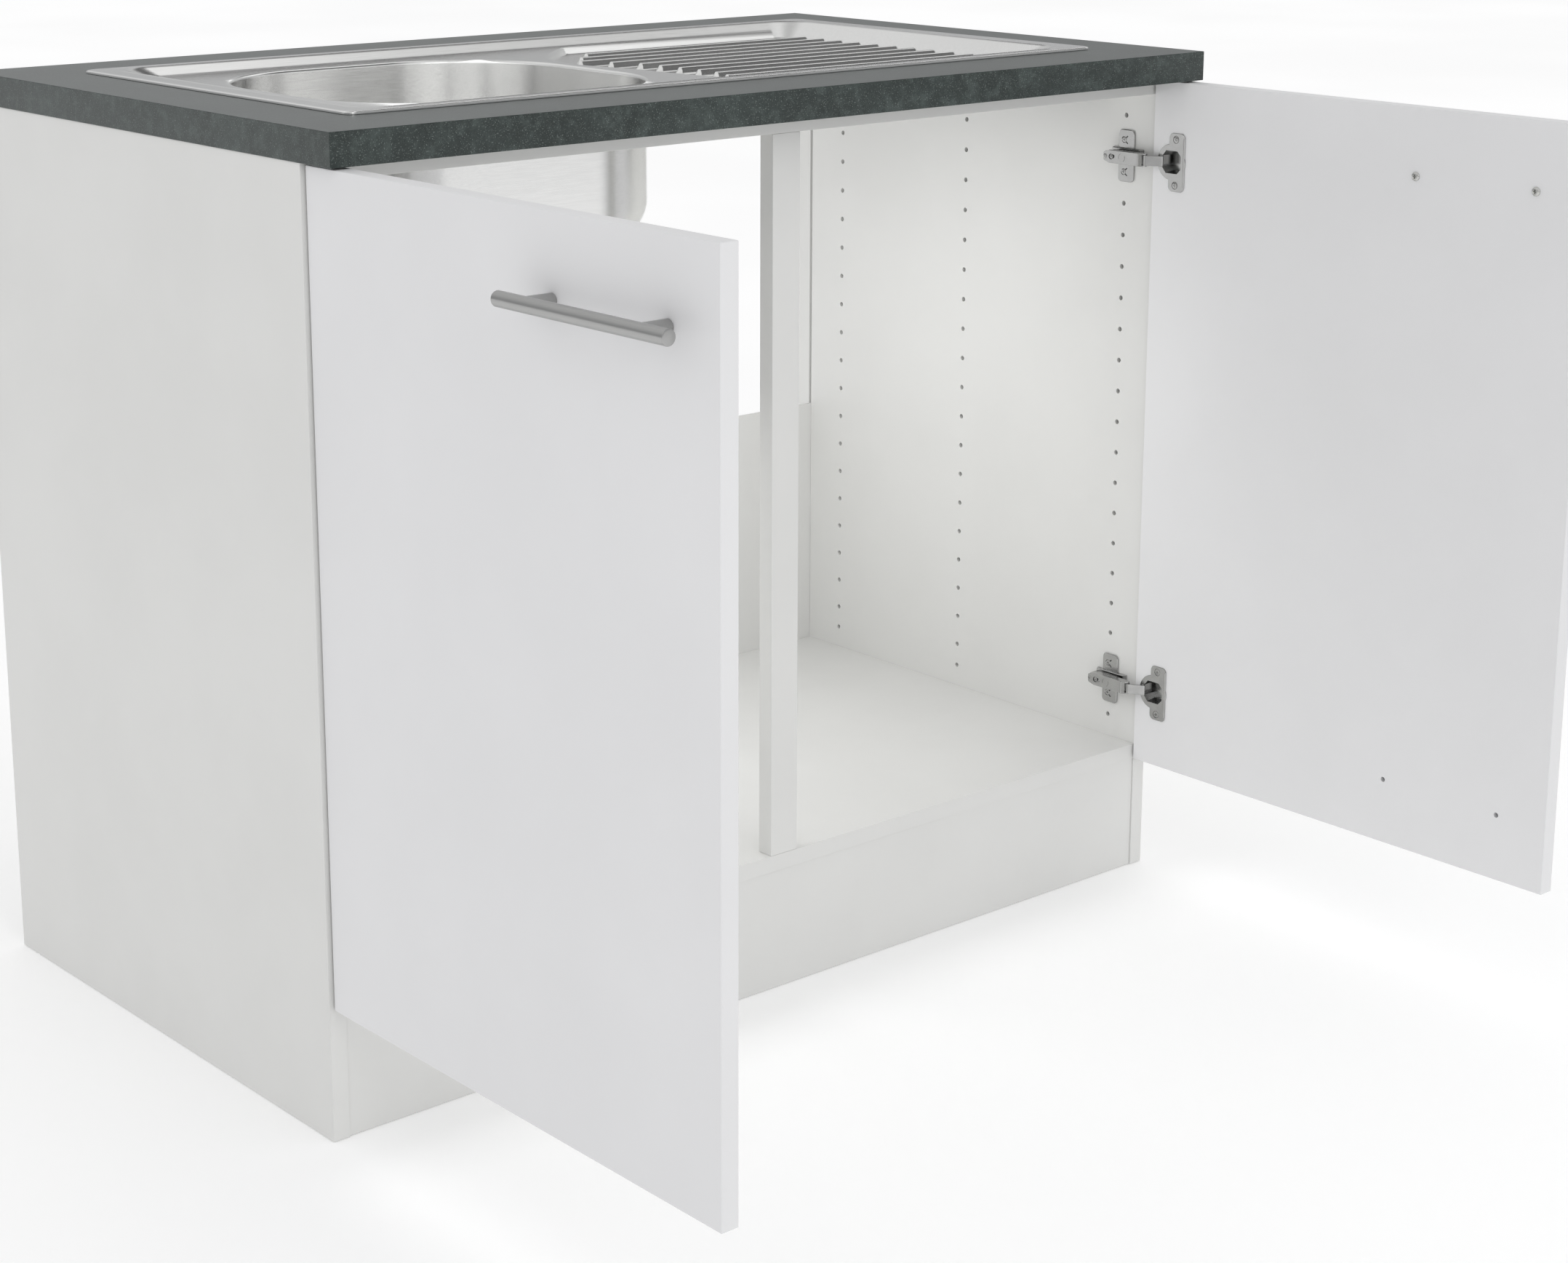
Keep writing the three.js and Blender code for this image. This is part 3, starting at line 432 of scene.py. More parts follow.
def shrink(outline, inset):
    """An outline of (x, y) points, counter-clockwise, drawn in by inset."""
    inner = []
    for index, (x, y) in enumerate(outline):
        before = Vector((x, y)) - Vector(outline[index - 1])
        after = Vector(outline[(index + 1) % len(outline)]) - Vector((x, y))
        one, other = [Vector((-edge.y, edge.x)).normalized() for edge in (before, after)]
        reach = inset / max(MITRE_LIMIT, 1 + one.dot(other))
        inner.append((x + reach * (one.x + other.x), y + reach * (one.y + other.y)))
    return inner


def level(outline, height):
    return [(x, y, height) for x, y in outline]


def pushed(outline, low, high, edge=0.0):
    """An outline pushed along Z from low to high, with its two rims chamfered by edge."""
    if not edge:
        return skin([level(outline, low), level(outline, high)])
    inner = shrink(outline, edge)
    return skin([level(inner, low), level(outline, low + edge),
                 level(outline, high - edge), level(inner, high)])


def arc(x, y, radius, start, end, steps):
    angles = [math.radians(start + (end - start) * step / steps) for step in range(steps + 1)]
    return [(x + radius * math.cos(angle), y + radius * math.sin(angle)) for angle in angles]


def round_rectangle(width, depth, radius, x=0.0, y=0.0, steps=12):
    corners = ((1, 1, 0), (-1, 1, 90), (-1, -1, 180), (1, -1, 270))
    points = []
    for side_x, side_y, start in corners:
        middle_x = x + side_x * (width / 2 - radius)
        middle_y = y + side_y * (depth / 2 - radius)
        points += arc(middle_x, middle_y, radius, start, start + 90, steps)
    return points


# %% Boxes, placing and booleans
def rounded_box(low, high, edge, steps=2):
    shape = bmesh.new()
    bmesh.ops.create_cube(shape, size=1.0)
    low, high = Vector(low), Vector(high)
    size = high - low
    middle = (low + high) / 2
    for vertex in shape.verts:
        vertex.co = Vector([vertex.co[axis] * size[axis] + middle[axis] for axis in range(3)])
    if edge:
        bmesh.ops.bevel(
            shape, geom=shape.edges[:], offset=edge, segments=steps, profile=0.5, affect="EDGES")
    return shape


def moved(shape, matrix):
    bmesh.ops.transform(shape, matrix=matrix, verts=shape.verts[:])
    if matrix.determinant() < 0:
        bmesh.ops.reverse_faces(shape, faces=shape.faces[:])
    return shape


def aim(direction, place):
    """Carries +Z to a direction and the origin to a place."""
    turn = Vector(direction).to_track_quat("Z", "Y").to_matrix().to_4x4()
    return Matrix.Translation(Vector(place)) @ turn


def gather(shapes):
    """Several shapes in one mesh datablock, still in millimetres."""
    whole = bmesh.new()
    for shape in shapes:
        part = bpy.data.meshes.new("part")
        shape.to_mesh(part)
        shape.free()
        whole.from_mesh(part)
        bpy.data.meshes.remove(part)
    mesh = bpy.data.meshes.new("gathered")
    whole.to_mesh(mesh)
    whole.free()
    return mesh


def evaluated_shape(thing):
    """The mesh of an object with its modifiers applied; the object is then deleted."""
    scene.collection.objects.link(thing)
    ready = thing.evaluated_get(bpy.context.evaluated_depsgraph_get())
    shape = bmesh.new()
    shape.from_mesh(ready.to_mesh())
    ready.to_mesh_clear()
    bpy.data.objects.remove(thing)
    return shape


def combine(base, tools, operation):
    """The base with the tools cut away or joined on, as one closed body."""
    body = bpy.data.objects.new("base", gather([base]))
    other = bpy.data.objects.new("tools", gather(tools))
    scene.collection.objects.link(other)
    other.hide_render = True
    boolean = body.modifiers.new("boolean", "BOOLEAN")
    boolean.operation = operation
    boolean.solver = "EXACT"
    boolean.use_self = operation == "UNION"
    boolean.object = other
    shape = evaluated_shape(body)
    bpy.data.objects.remove(other)
    return shape


def cut(base, *tools):
    return combine(base, tools, "DIFFERENCE")


def cut_in_turn(base, tools):
    """The base with one tool cut away after another, for tools that may touch each other."""
    for tool in tools:
        base = cut(base, tool)
    return base


def fuse(base, *tools):
    return combine(base, tools, "UNION")


# %% From shape to finished piece
SHARP_EDGE = math.radians(38)


def settle(name, shapes, material, slot, *nodes):
    """Makes the object from its shapes, and puts it in the place of its construction pieces."""
    mesh = gather(shapes)
    mesh.transform(Matrix.Scale(MM, 4))
    mesh.name = name
    mesh.shade_smooth()
    mesh.set_sharp_from_angle(angle=SHARP_EDGE)
    mesh.materials.clear()
    mesh.materials.append(material)
    piece = bpy.data.objects.new(name, mesh)
    scene.collection.objects.link(piece)
    normals = piece.modifiers.new("flat_faces", "WEIGHTED_NORMAL")
    normals.keep_sharp = True
    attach(piece, body_of(nodes[0]))
    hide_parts(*nodes)
    print(f"{name}: {len(mesh.polygons)} faces on body {body_of(nodes[0])}")


# %% [markdown]
# ## Cabinet boards
# A flat-pack carcass is a handful of 16 mm boards, cut square and edged. The edges are softened by
# about half a millimetre, which is what catches the light along them. The two sides also carry the
# groove for the thin back panel and three columns of 5 mm shelf holes on a 32 mm pitch. A drilled
# hole has a conical bottom, so each cutter is a turned plug with a point.

# %% Drill bits and plain boards
BOARD_EDGE = 0.5


def drill(diameter, depth, mouth, direction, sides=20, point=0.3):
    """A cutter that enters a face at mouth; point is its tip's height as a share of its radius."""
    radius = diameter / 2
    profile = [(0, -1), (radius, -1), (radius, depth), (0, depth + radius * point)]
    return moved(turned(profile, sides), aim(direction, mouth))


def plain_board(node):
    shape = rounded_box(*span(node), BOARD_EDGE)
    settle(node + "_panel", [shape], BOARD_WHITE, "white_board", node)


for node in ("bottom_board", "plinth", "front_rail", "rear_rail", "centre_post", "back_panel"):
    plain_board(node)

# %% Side panels
HOLE_DIAMETER = 5
HOLE_DEPTH = 12
HOLE_PITCH = 32
FRONT_COLUMN = 37.5
MIDDLE_COLUMN = 224
REAR_COLUMN_TO_GROOVE = 50
FIRST_HOLE = 47
LAST_HOLE_BELOW_RAIL = 48
EXTRA_HOLE = 24
GROOVE_DEPTH = 7
GROOVE_CLEARANCE = 0.3


def hole_heights():
    first = span("bottom_board")[1].z + FIRST_HOLE
    last = span("front_rail")[0].z - LAST_HOLE_BELOW_RAIL
    count = int((last - first) // HOLE_PITCH) + 1
    rows = [first + index * HOLE_PITCH for index in range(count)]
    return [rows[0] - EXTRA_HOLE, *rows, rows[-1] + EXTRA_HOLE]


def side_panel(node, inward):
    low, high = span(node)
    face = high.x if inward > 0 else low.x
    back_low, back_high = span("back_panel")
    groove_start = back_low.y - GROOVE_CLEARANCE
    groove_deep = face - inward * GROOVE_DEPTH
    groove = rounded_box(
        (min(face + inward, groove_deep), groove_start, low.z - 1),
        (max(face + inward, groove_deep), back_high.y + GROOVE_CLEARANCE, high.z + 1), 0)
    front = low.y + FRONT_COLUMN
    columns = (front, front + MIDDLE_COLUMN, groove_start - REAR_COLUMN_TO_GROOVE)
    holes = [drill(HOLE_DIAMETER, HOLE_DEPTH, (face, y, z), (-inward, 0, 0))
             for y in columns for z in hole_heights()]
    panel = cut(rounded_box(low, high, BOARD_EDGE), groove, *holes)
    settle(node + "_panel", [panel], BOARD_WHITE, "white_board", node)


side_panel("left_side", 1)
side_panel("right_side", -1)

# %% [markdown]
# ## Doors
# Each door is one board with every edge softened. Its inner face holds two 35 mm bores for the
# hinge cups, two holes right through for the handle's screws, and two shallow ones at the other
# end, where the handle goes if the door is hung on the other side. The bores are found from the
# cups and the holes from the handle's legs, so they line up with what they hold.

# %% Doors
DOOR_EDGE = 0.9
CUP_BORE = 35
CUP_BORE_DEPTH = 12
CUP_RIM = 35.6
SPARE_HOLE_DEPTH = 10


def cup_centre(node):
    """The middle of a hinge cup; its rim is the part that reaches furthest into the cabinet."""
    low, high = span(node)
    return high.y - CUP_RIM / 2, (low.z + high.z) / 2


def door(side, inward):
    low, high = span(f"{side}_door")
    face = high.x if inward > 0 else low.x
    into = (-inward, 0, 0)
    cutters = []
    for row in ("lower", "upper"):
        y, z = cup_centre(f"{side}_{row}_hinge_cup")
        cutters.append(drill(CUP_BORE, CUP_BORE_DEPTH, (face, y, z), into, 64, 0.02))
    thickness = high.x - low.x
    for place in ("inner", "outer"):
        leg_low, leg_high = span(f"{side}_handle_leg_{place}")
        y, z = (leg_low.y + leg_high.y) / 2, (leg_low.z + leg_high.z) / 2
        spare_z = low.z + (high.z - z)
        cutters.append(drill(HOLE_DIAMETER, thickness + 2, (face, y, z), into))
        cutters.append(drill(HOLE_DIAMETER, SPARE_HOLE_DEPTH, (face, y, spare_z), into))
    leaf = cut(rounded_box(low, high, DOOR_EDGE, 3), *cutters)
    settle(f"{side}_door_leaf", [leaf], DOOR_WHITE, "door_white", f"{side}_door")


door("left", 1)
door("right", -1)

# %% [markdown]
# ## Worktop
# A 28 mm board with square, only just broken edges, and one opening with round corners that the
# sink drops into. The opening is the sink's outline less the width of rim that rests on the top.

# %% Worktop
WORKTOP_EDGE = 0.6
SINK_LAP = 10
SINK_CORNER = 9


def worktop():
    low, high = span("worktop")
    sink_low, sink_high = span("sink")
    size = sink_high - sink_low
    middle = (sink_low + sink_high) / 2
    outline = round_rectangle(
        size.x - 2 * SINK_LAP, size.y - 2 * SINK_LAP, SINK_CORNER, middle.x, middle.y)
    board = cut(rounded_box(low, high, WORKTOP_EDGE), pushed(outline, low.z - 1, high.z + 1))
    settle("worktop_board", [board], STONE, "stone_laminate", "worktop")


worktop()

# %% [markdown]
# ## The sink
# The sink is one sheet of stainless steel pressed into a rim, a shallow tray, a deep bowl and a
# lower drainer with ribs. A pressing has no parts to assemble, so it is modelled as a sheet too: a
# single surface that is thickened at the end. The rim, the tray's wall and the bowl are rings drawn
# through rounded rectangles. The pressed field between them is better described by its height at
# each point, a formula that blends the deck, the drainer and the ribs, so there the script scatters
# points along the lines where the sheet bends and lets a triangulation join them.

# %% Sink sizes
SHEET = 0.8
RIM_TOP = span("sink")[1].z
sink_low, sink_high = span("sink")
SINK_WIDTH = sink_high.x - sink_low.x
SINK_DEPTH = sink_high.y - sink_low.y
SINK_Y = (sink_low.y + sink_high.y) / 2
MOUTH_WIDTH = SINK_WIDTH - 48
MOUTH_DEPTH = SINK_DEPTH - 27
MOUTH_CORNER = 32
WALL_SLOPE = 2               # millimetres inwards for each millimetre down
DECK_DROP = 8
DRAINER_DROP = 15
BOWL_X = (span("ring_nut")[0].x + span("ring_nut")[1].x) / 2
BOWL_WIDTH = 336
BOWL_DEPTH = 324
BOWL_CORNER = 116
BOWL_FOOT = 36
BOWL_LEAN = 6
BOWL_MOUTH_ROUND = 3
deck_z = RIM_TOP - DECK_DROP
BOWL_FLOOR = span("ring_nut")[1].z + 4.4
bowl_right = BOWL_X + BOWL_WIDTH / 2
print("bowl centre", round(BOWL_X, 1), "floor", round(BOWL_FLOOR, 1), "deck", round(deck_z, 1))

# %% [markdown]
# ### The pressed field
# The tray's wall leans in two for one all round. Left and front of the drainer the sheet stays at
# deck height. The step between them follows two given lines: its crest, where the deck ends, and
# its foot, where the drainer starts. It is steep at the back left and very gentle in front, where
# it runs out towards the bowl. Each of the ten ribs is a long hump with round ends, and the left
# ends are staggered, so that they leave a funnel for the water.

# %% Heights of the pressed field
CREST = [(88.5, 433.3), (61.5, 408.5), (35.6, 384.0), (15.3, 362.0), (2.9, 342.5), (-3.5, 326.0),
         (-10, 310), (-13.5, 292), (-13.5, 272), (-10.2, 256), (-5.0, 232), (0.5, 201.4),
         (6.8, 145.0), (16, 100), (34, 57.3)]
FOOT = [(84.4, 419.3), (62.5, 400.0), (40.5, 379.5), (21.5, 359.0), (10.5, 341.0), (6.5, 325.0),
        (8, 308), (14, 290), (20, 270), (25, 254), (28, 231), (33, 200),
        (41, 148), (52, 108), (66, 71.3)]
STEP_LEVELS = (0, 0.08, 0.18, 0.32, 0.5, 0.68, 0.82, 0.92, 1)
RIB_COUNT = 10
RIB_PITCH = 27.5
RIB_TOP = 5.8
RIB_CROWN = 1.1
RIB_FOOT = 5.4
RIB_RIGHT_END = 363
RIB_STARTS = (89, 62, 40, 56, 70, 72, 73.5, 74, 72, 62)
BEND_BLEND = 0.9
DECK_BEFORE = -16            # left of this x there is only deck,
DRAINER_AFTER = 92           # and right of this one only drainer


def smooth_line(points, pieces):
    """A curve through given points, with a few steps between each two."""
    line = []
    for index in range(len(points) - 1):
        near = [min(max(index + offset, 0), len(points) - 1) for offset in (-1, 0, 1, 2)]
        before, here, after, last = [Vector(points[place]) for place in near]
        for step in range(pieces):
            share = step / pieces
            bend = (2 * here + (after - before) * share
                    + (2 * before - 5 * here + 4 * after - last) * share ** 2
                    + (3 * here - before - 3 * after + last) * share ** 3)
            line.append(bend * 0.5)
    return line + [Vector(points[-1])]


crest_line = smooth_line(CREST, 4)
foot_line = smooth_line(FOOT, 4)


def side_of(line, x, y):
    """The distance to a line, positive on the drainer's side of it."""
    point = Vector((x, y))
    nearest, sign = 1e9, 1
    for start, end in zip(line, line[1:]):
        along = end - start
        share = min(max((point - start).dot(along) / along.length_squared, 0), 1)
        away = point - (start + along * share)
        if away.length < nearest:
            nearest = away.length
            sign = 1 if along.x * away.y - along.y * away.x > 0 else -1
    return sign * nearest


def ease(share):
    share = min(max(share, 0), 1)
    return share * share * (3 - 2 * share)


def step_share(x, y):
    """0 on the deck, 1 on the drainer, and between them on the step."""
    if x < DECK_BEFORE:
        return 0
    if x > DRAINER_AFTER:
        return 1
    past_crest = side_of(crest_line, x, y)
    if past_crest <= 0:
        return 0
    before_foot = -side_of(foot_line, x, y)
    if before_foot <= 0:
        return 1
    return past_crest / (past_crest + before_foot)


def rib_spines():
    for index, start in enumerate(RIB_STARTS):
        y = SINK_Y + ((RIB_COUNT - 1) / 2 - index) * RIB_PITCH
        yield bowl_right + start + RIB_FOOT, RIB_RIGHT_END - RIB_FOOT, y


def rib_height(x, y):
    for left, right, rib_y in rib_spines():
        if abs(y - rib_y) < RIB_FOOT:
            away = math.hypot(x - min(max(x, left), right), y - rib_y)
            return RIB_TOP * (1 - ease((away - RIB_CROWN) / (RIB_FOOT - RIB_CROWN)))
    return 0


def wall_drop(x, y):
    """How far below the rim the tray's leaning wall is at a point."""
    past_x = abs(x) - MOUTH_WIDTH / 2 + MOUTH_CORNER
    past_y = abs(y - SINK_Y) - MOUTH_DEPTH / 2 + MOUTH_CORNER
    drop = min(MOUTH_CORNER - past_x, MOUTH_CORNER - past_y) / WALL_SLOPE
    if past_x + drop > 0 and past_y + drop > 0:
        total = past_x + past_y + MOUTH_CORNER
        spare = past_x ** 2 + past_y ** 2 - MOUTH_CORNER ** 2
        drop = math.sqrt(max(total ** 2 - spare, 0)) - total
    return drop


def field_height(x, y):
    wall = RIM_TOP - wall_drop(x, y)
    floor = deck_z - (DRAINER_DROP - DECK_DROP) * ease(step_share(x, y)) + rib_height(x, y)
    overlap = max(BEND_BLEND - abs(wall - floor), 0)
    return max(wall, floor) + overlap ** 2 / (4 * BEND_BLEND)


print("deck", field_height(-100, 420), "drainer", field_height(200, 400))

# %% [markdown]
# ### Joining the field
# The lines along which the sheet bends are given as edges that the triangulation must keep: rings
# around the wall, the step's levels, and eight outlines around each rib. Flat places need no points
# of their own. The triangles inside the bowl's mouth are left out.

# %% Triangulated field
WALL_LEVELS = (6.5, 7.2, 7.7, 8.1, 8.5, 9.2)
LOW_WALL_LEVELS = (10, 11.5, 13, 14, 14.6, 15, 15.4, 16)
RIB_LINES = (0.5, RIB_CROWN, 1.9, 2.7, 3.5, 4.3, RIB_FOOT, RIB_FOOT + 0.8)
TRAY_STEPS = 14
BOWL_STEPS = 20
LONGEST_BOWL_EDGE = 18
STEP_FRONT_END = FOOT[-1][0] + 2
STEP_BACK_END = FOOT[0][0] + 2


def tray_outline(drop):
    inset = 2 * WALL_SLOPE * drop
    return round_rectangle(
        MOUTH_WIDTH - inset, MOUTH_DEPTH - inset, MOUTH_CORNER - drop, 0, SINK_Y, TRAY_STEPS)


def dense(outline, longest):
    """The same outline with points added, so that no edge is longer than longest."""
    points = []
    for here, after in zip(outline, outline[1:] + outline[:1]):
        pieces = max(1, math.ceil(math.dist(here, after) / longest - 0.01))
        for step in range(pieces):
            share = step / pieces
            points.append(tuple(a + (b - a) * share for a, b in zip(here, after)))
    return points


def bowl_outline(inset):
    outline = round_rectangle(
        BOWL_WIDTH - 2 * inset, BOWL_DEPTH - 2 * inset, BOWL_CORNER - inset, BOWL_X, SINK_Y,
        BOWL_STEPS)
    return dense(outline, LONGEST_BOWL_EDGE)


def inside(outline, x, y):
    crossings = 0
    for (x1, y1), (x2, y2) in zip(outline, outline[1:] + outline[:1]):
        if (y1 > y) != (y2 > y) and x < x1 + (y - y1) / (y2 - y1) * (x2 - x1):
            crossings += 1
    return crossings % 2 == 1


def bend_lines():
    """(points, closed) for every line along which the sheet bends."""
    for drop in WALL_LEVELS:
        yield tray_outline(drop), True
    for drop in LOW_WALL_LEVELS:
        yield right_part(tray_outline(drop)), False
    yield bowl_outline(-BOWL_MOUTH_ROUND), True
    for share in STEP_LEVELS:
        yield [tuple(a.lerp(b, share)) for a, b in zip(crest_line, foot_line)], False
    for left, right, y in rib_spines():
        for away in RIB_LINES:
            yield arc(right, y, away, -90, 90, 8) + arc(left, y, away, 90, 270, 8), True


def right_part(outline):
    """The stretch of a tray outline that borders the drainer, from its front to its back."""
    half = [point for point in outline if point[0] > 0]
    start = max(range(len(half)), key=lambda index: math.dist(half[index - 1], half[index]))
    ordered = half[start:] + half[:start]
    front, back = ordered[0], ordered[-1]
    return [(STEP_FRONT_END, front[1]), *ordered, (STEP_BACK_END, back[1])]


def pressed_field():
    points, edges = [], []
    for line, closed in bend_lines():
        first = len(points)
        points += [Vector(point) for point in line]
        edges += [(index, index + 1) for index in range(first, len(points) - 1)]
        if closed:
            edges.append((len(points) - 1, first))
    flat, _, triangles, *_ = delaunay_2d_cdt(points, edges, [], 0, 1e-4)
    mouth = bowl_outline(-BOWL_MOUTH_ROUND)
    shape = bmesh.new()
    corners = [shape.verts.new((x, y, field_height(x, y))) for x, y in flat]
    for triangle in triangles:
        middle = sum((flat[index] for index in triangle), Vector((0, 0))) / 3
        if not inside(mouth, *middle):
            shape.faces.new([corners[index] for index in triangle])
    loose = [vertex for vertex in shape.verts if not vertex.link_faces]
    bmesh.ops.delete(shape, geom=loose, context="VERTS")
    print("pressed field:", len(shape.faces), "triangles")
    return shape


# %% [markdown]
# ### Rim, bowl and thickness
# The rim's section starts at the seal, climbs a rounded edge to the highest line, falls very
# slightly over the flat ledge and rises again to a fine bead before it drops into the tray. The
# bowl's wall is nearly upright and turns into the floor on a wide radius. All of it is one surface;
# a Solidify modifier gives it the sheet's real thickness. The overflow hole is cut last, and four
# short tabs below the rim take the clamps.

# %% Rim, bowl and the finished sink
RIM_LINES = (
    (0, 2.7), (0, 1.3), (0.012, 0.8), (0.035, 0.35), (0.075, 0.08), (0.13, 0), (0.3, 0.1),
    (0.7, 0.4), (0.82, 0.45), (0.87, 0.36), (0.91, 0.12), (0.94, 0.02), (0.97, 0.05), (1, 0.28))
WALL_RINGS = (0.7, 1.4, 3.5, 6.5)
OVERFLOW_HOLE = 30
DRAIN_HOLE = 90
BOWL_FLOOR_LINES = (66, 58, 50, DRAIN_HOLE / 2)
TAB_HALF_WIDTH = 14
TAB_LENGTH = 15
CLAMP_BACK = 2.3             # from a clamp's back to the middle of the tab that it hangs on


def rim_rings():
    rings = []
    for share, drop in RIM_LINES:
        outline = round_rectangle(
            SINK_WIDTH + (MOUTH_WIDTH - SINK_WIDTH) * share,
            SINK_DEPTH + (MOUTH_DEPTH - SINK_DEPTH) * share,
            SINK_CORNER + (MOUTH_CORNER - SINK_CORNER) * share, 0, SINK_Y, TRAY_STEPS)
        rings.append(level(outline, RIM_TOP - drop))
    for drop in WALL_RINGS:
        rings.append(level(tray_outline(drop), RIM_TOP - drop))
    return rings


def bowl_rings():
    rings = []
    for degrees in range(0, 91, 15):
        angle = math.radians(degrees)
        inset = BOWL_MOUTH_ROUND * (math.sin(angle) - 1)
        height = deck_z - BOWL_MOUTH_ROUND * (1 - math.cos(angle))
        rings.append(level(bowl_outline(inset), height))
    wall_foot = BOWL_FLOOR + BOWL_FOOT
    for share in (0.3, 0.65):
        height = deck_z - BOWL_MOUTH_ROUND + (wall_foot - deck_z) * share
        rings.append(level(bowl_outline(0.02 * share), height))
    for degrees in range(90, -1, -10):
        angle = math.radians(degrees)
        inset = BOWL_FOOT * (1 - math.sin(angle)) + BOWL_LEAN * (1 - degrees / 90)
        rings.append(level(bowl_outline(inset), BOWL_FLOOR + BOWL_FOOT * (1 - math.cos(angle))))
    floor = rings[-1]
    for radius in BOWL_FLOOR_LINES:
        ring = []
        for x, y, _ in floor:
            away = math.hypot(x - BOWL_X, y - SINK_Y)
            ring.append((BOWL_X + (x - BOWL_X) * radius / away,
                         SINK_Y + (y - SINK_Y) * radius / away, BOWL_FLOOR))
        rings.append(ring)
    return rings


def sink_sheet():
    """The whole pressing as one surface, its faces turned up."""
    surface = bmesh.new()
    for part in (skin(rim_rings(), caps=False), pressed_field(), skin(bowl_rings(), caps=False)):
        mesh = gather([part])
        surface.from_mesh(mesh)
        bpy.data.meshes.remove(mesh)
    bmesh.ops.remove_doubles(surface, verts=surface.verts[:], dist=0.02)
    bmesh.ops.recalc_face_normals(surface, faces=surface.faces[:])
    up = sum(face.normal.z * face.calc_area() for face in surface.faces)
    if up < 0:
        bmesh.ops.reverse_faces(surface, faces=surface.faces[:])
    return surface


def sink():
    blank = bpy.data.objects.new("blank", gather([sink_sheet()]))
    thickness = blank.modifiers.new("sheet_thickness", "SOLIDIFY")
    thickness.thickness = SHEET
    thickness.offset = -1
    pressed = evaluated_shape(blank)
    cover_low, cover_high = span("overflow_cover")
    overflow_z = (cover_low.z + cover_high.z) / 2
    hole = drill(OVERFLOW_HOLE, 30, (cover_low.x + 20, SINK_Y, overflow_z), (-1, 0, 0), 40)
    pressed = cut(pressed, hole)
    tabs = []
    for number in range(1, 5):
        low, high = span(f"sink_clamp_{number}")
        x = low.x + CLAMP_BACK if high.x > 0 else high.x - CLAMP_BACK
        y = (low.y + high.y) / 2
        tabs.append(rounded_box(
            (x - SHEET / 2, y - TAB_HALF_WIDTH, RIM_TOP - SHEET - TAB_LENGTH),
            (x + SHEET / 2, y + TAB_HALF_WIDTH, RIM_TOP - SHEET), 0.2, 1))
    settle("inset_sink", [pressed, *tabs], SINK_STEEL, "brushed_steel", "sink")


sink()

# %% [markdown]
# ## Screws
# Every screw here has a cross recess. The recess is one plus-shaped cutter that narrows downwards,
# and the thread is a row of rings, which at this size looks the same as a helix and is far lighter.
# Heads are turned: a low dome for the handle's screws and a cone for the hinges' countersunk ones.

# %% Screw shapes
CROSS_WIDTH = 0.17           # of the cross recess's length
THREAD_PITCH = 0.8
HEAD_ANGLES = (0, 20, 40, 60, 75)


def cross_cutter(size, depth):
    """A plus-shaped recess that starts at z = 0 and goes down."""
    long, short = size / 2, size * CROSS_WIDTH / 2
    corners = [(long, short), (short, short), (short, long), (-short, long), (-short, short),
               (-long, short), (-long, -short), (-short, -short), (-short, -long), (short, -long),
               (short, -short), (long, -short)]
    return skin([level([(x * 0.5, y * 0.5) for x, y in corners], -depth), level(corners, 0.6)])


def threaded(core, crest, low, high):
    """Profile points of a thread from low to high."""
    points = []
    count = int((high - low) / THREAD_PITCH)
    for turn in range(count):
        z = low + turn * THREAD_PITCH
        points += [(core, z), (crest, z + THREAD_PITCH / 2)]
    return points + [(core, high)]


def pan_screw(radius, height, shank, length):
    """A dome head that sits on z = 0, with its threaded shank below."""
    turns = [math.radians(angle) for angle in HEAD_ANGLES]
    crown = [(radius * math.cos(turn), height * (0.25 + 0.75 * math.sin(turn))) for turn in turns]
    thread = threaded(shank * 0.82, shank, 0.6 - length, -0.3)
    profile = [(0, -length), (shank * 0.6, -length), *thread,
               (shank, 0), (radius * 0.98, 0), *crown, (0, height)]
    recess = moved(cross_cutter(radius * 1.2, height * 0.75), Matrix.Translation((0, 0, height)))
    return cut(turned(profile, 28), recess)


def countersunk_head(radius, height):
    """A countersunk head: a cone below z = 0 and a very low dome above it."""
    head = turned([(0, -radius), (radius * 0.5, -radius), (radius * 0.95, -0.2), (radius, 0.02),
                   (radius * 0.85, height * 0.7), (radius * 0.5, height), (0, height)], 28)
    recess = moved(cross_cutter(radius * 1.25, radius * 0.5), Matrix.Translation((0, 0, height)))
    return cut(head, recess)


# %% [markdown]
# ## Bar handles
# Each handle is a steel bar on two legs. The bar and the legs are turned; each leg ends in a saddle
# that fits the bar, cut with the bar's own cylinder. Two dome-headed screws reach through the door
# from inside into the legs. Diameters and places come from the construction's solids.

# %% Handles
BAR_END_CHAMFER = 0.9
LEG_FOOT_CHAMFER = 0.5
SADDLE_FIT = 0.03
SADDLE_HALF_LENGTH = 30
SCREW_HEAD = 2.4
SCREW_SHANK = 2


def middle_of(node):
    low, high = span(node)
    return (low + high) / 2


def bar_shape(radius, length, chamfer):
    half, soft = length / 2, chamfer * 0.3
    return turned([(0, -half), (radius - chamfer, -half), (radius - soft, -half + soft),
                   (radius, -half + chamfer), (radius, half - chamfer),
                   (radius - soft, half - soft), (radius - chamfer, half), (0, half)])


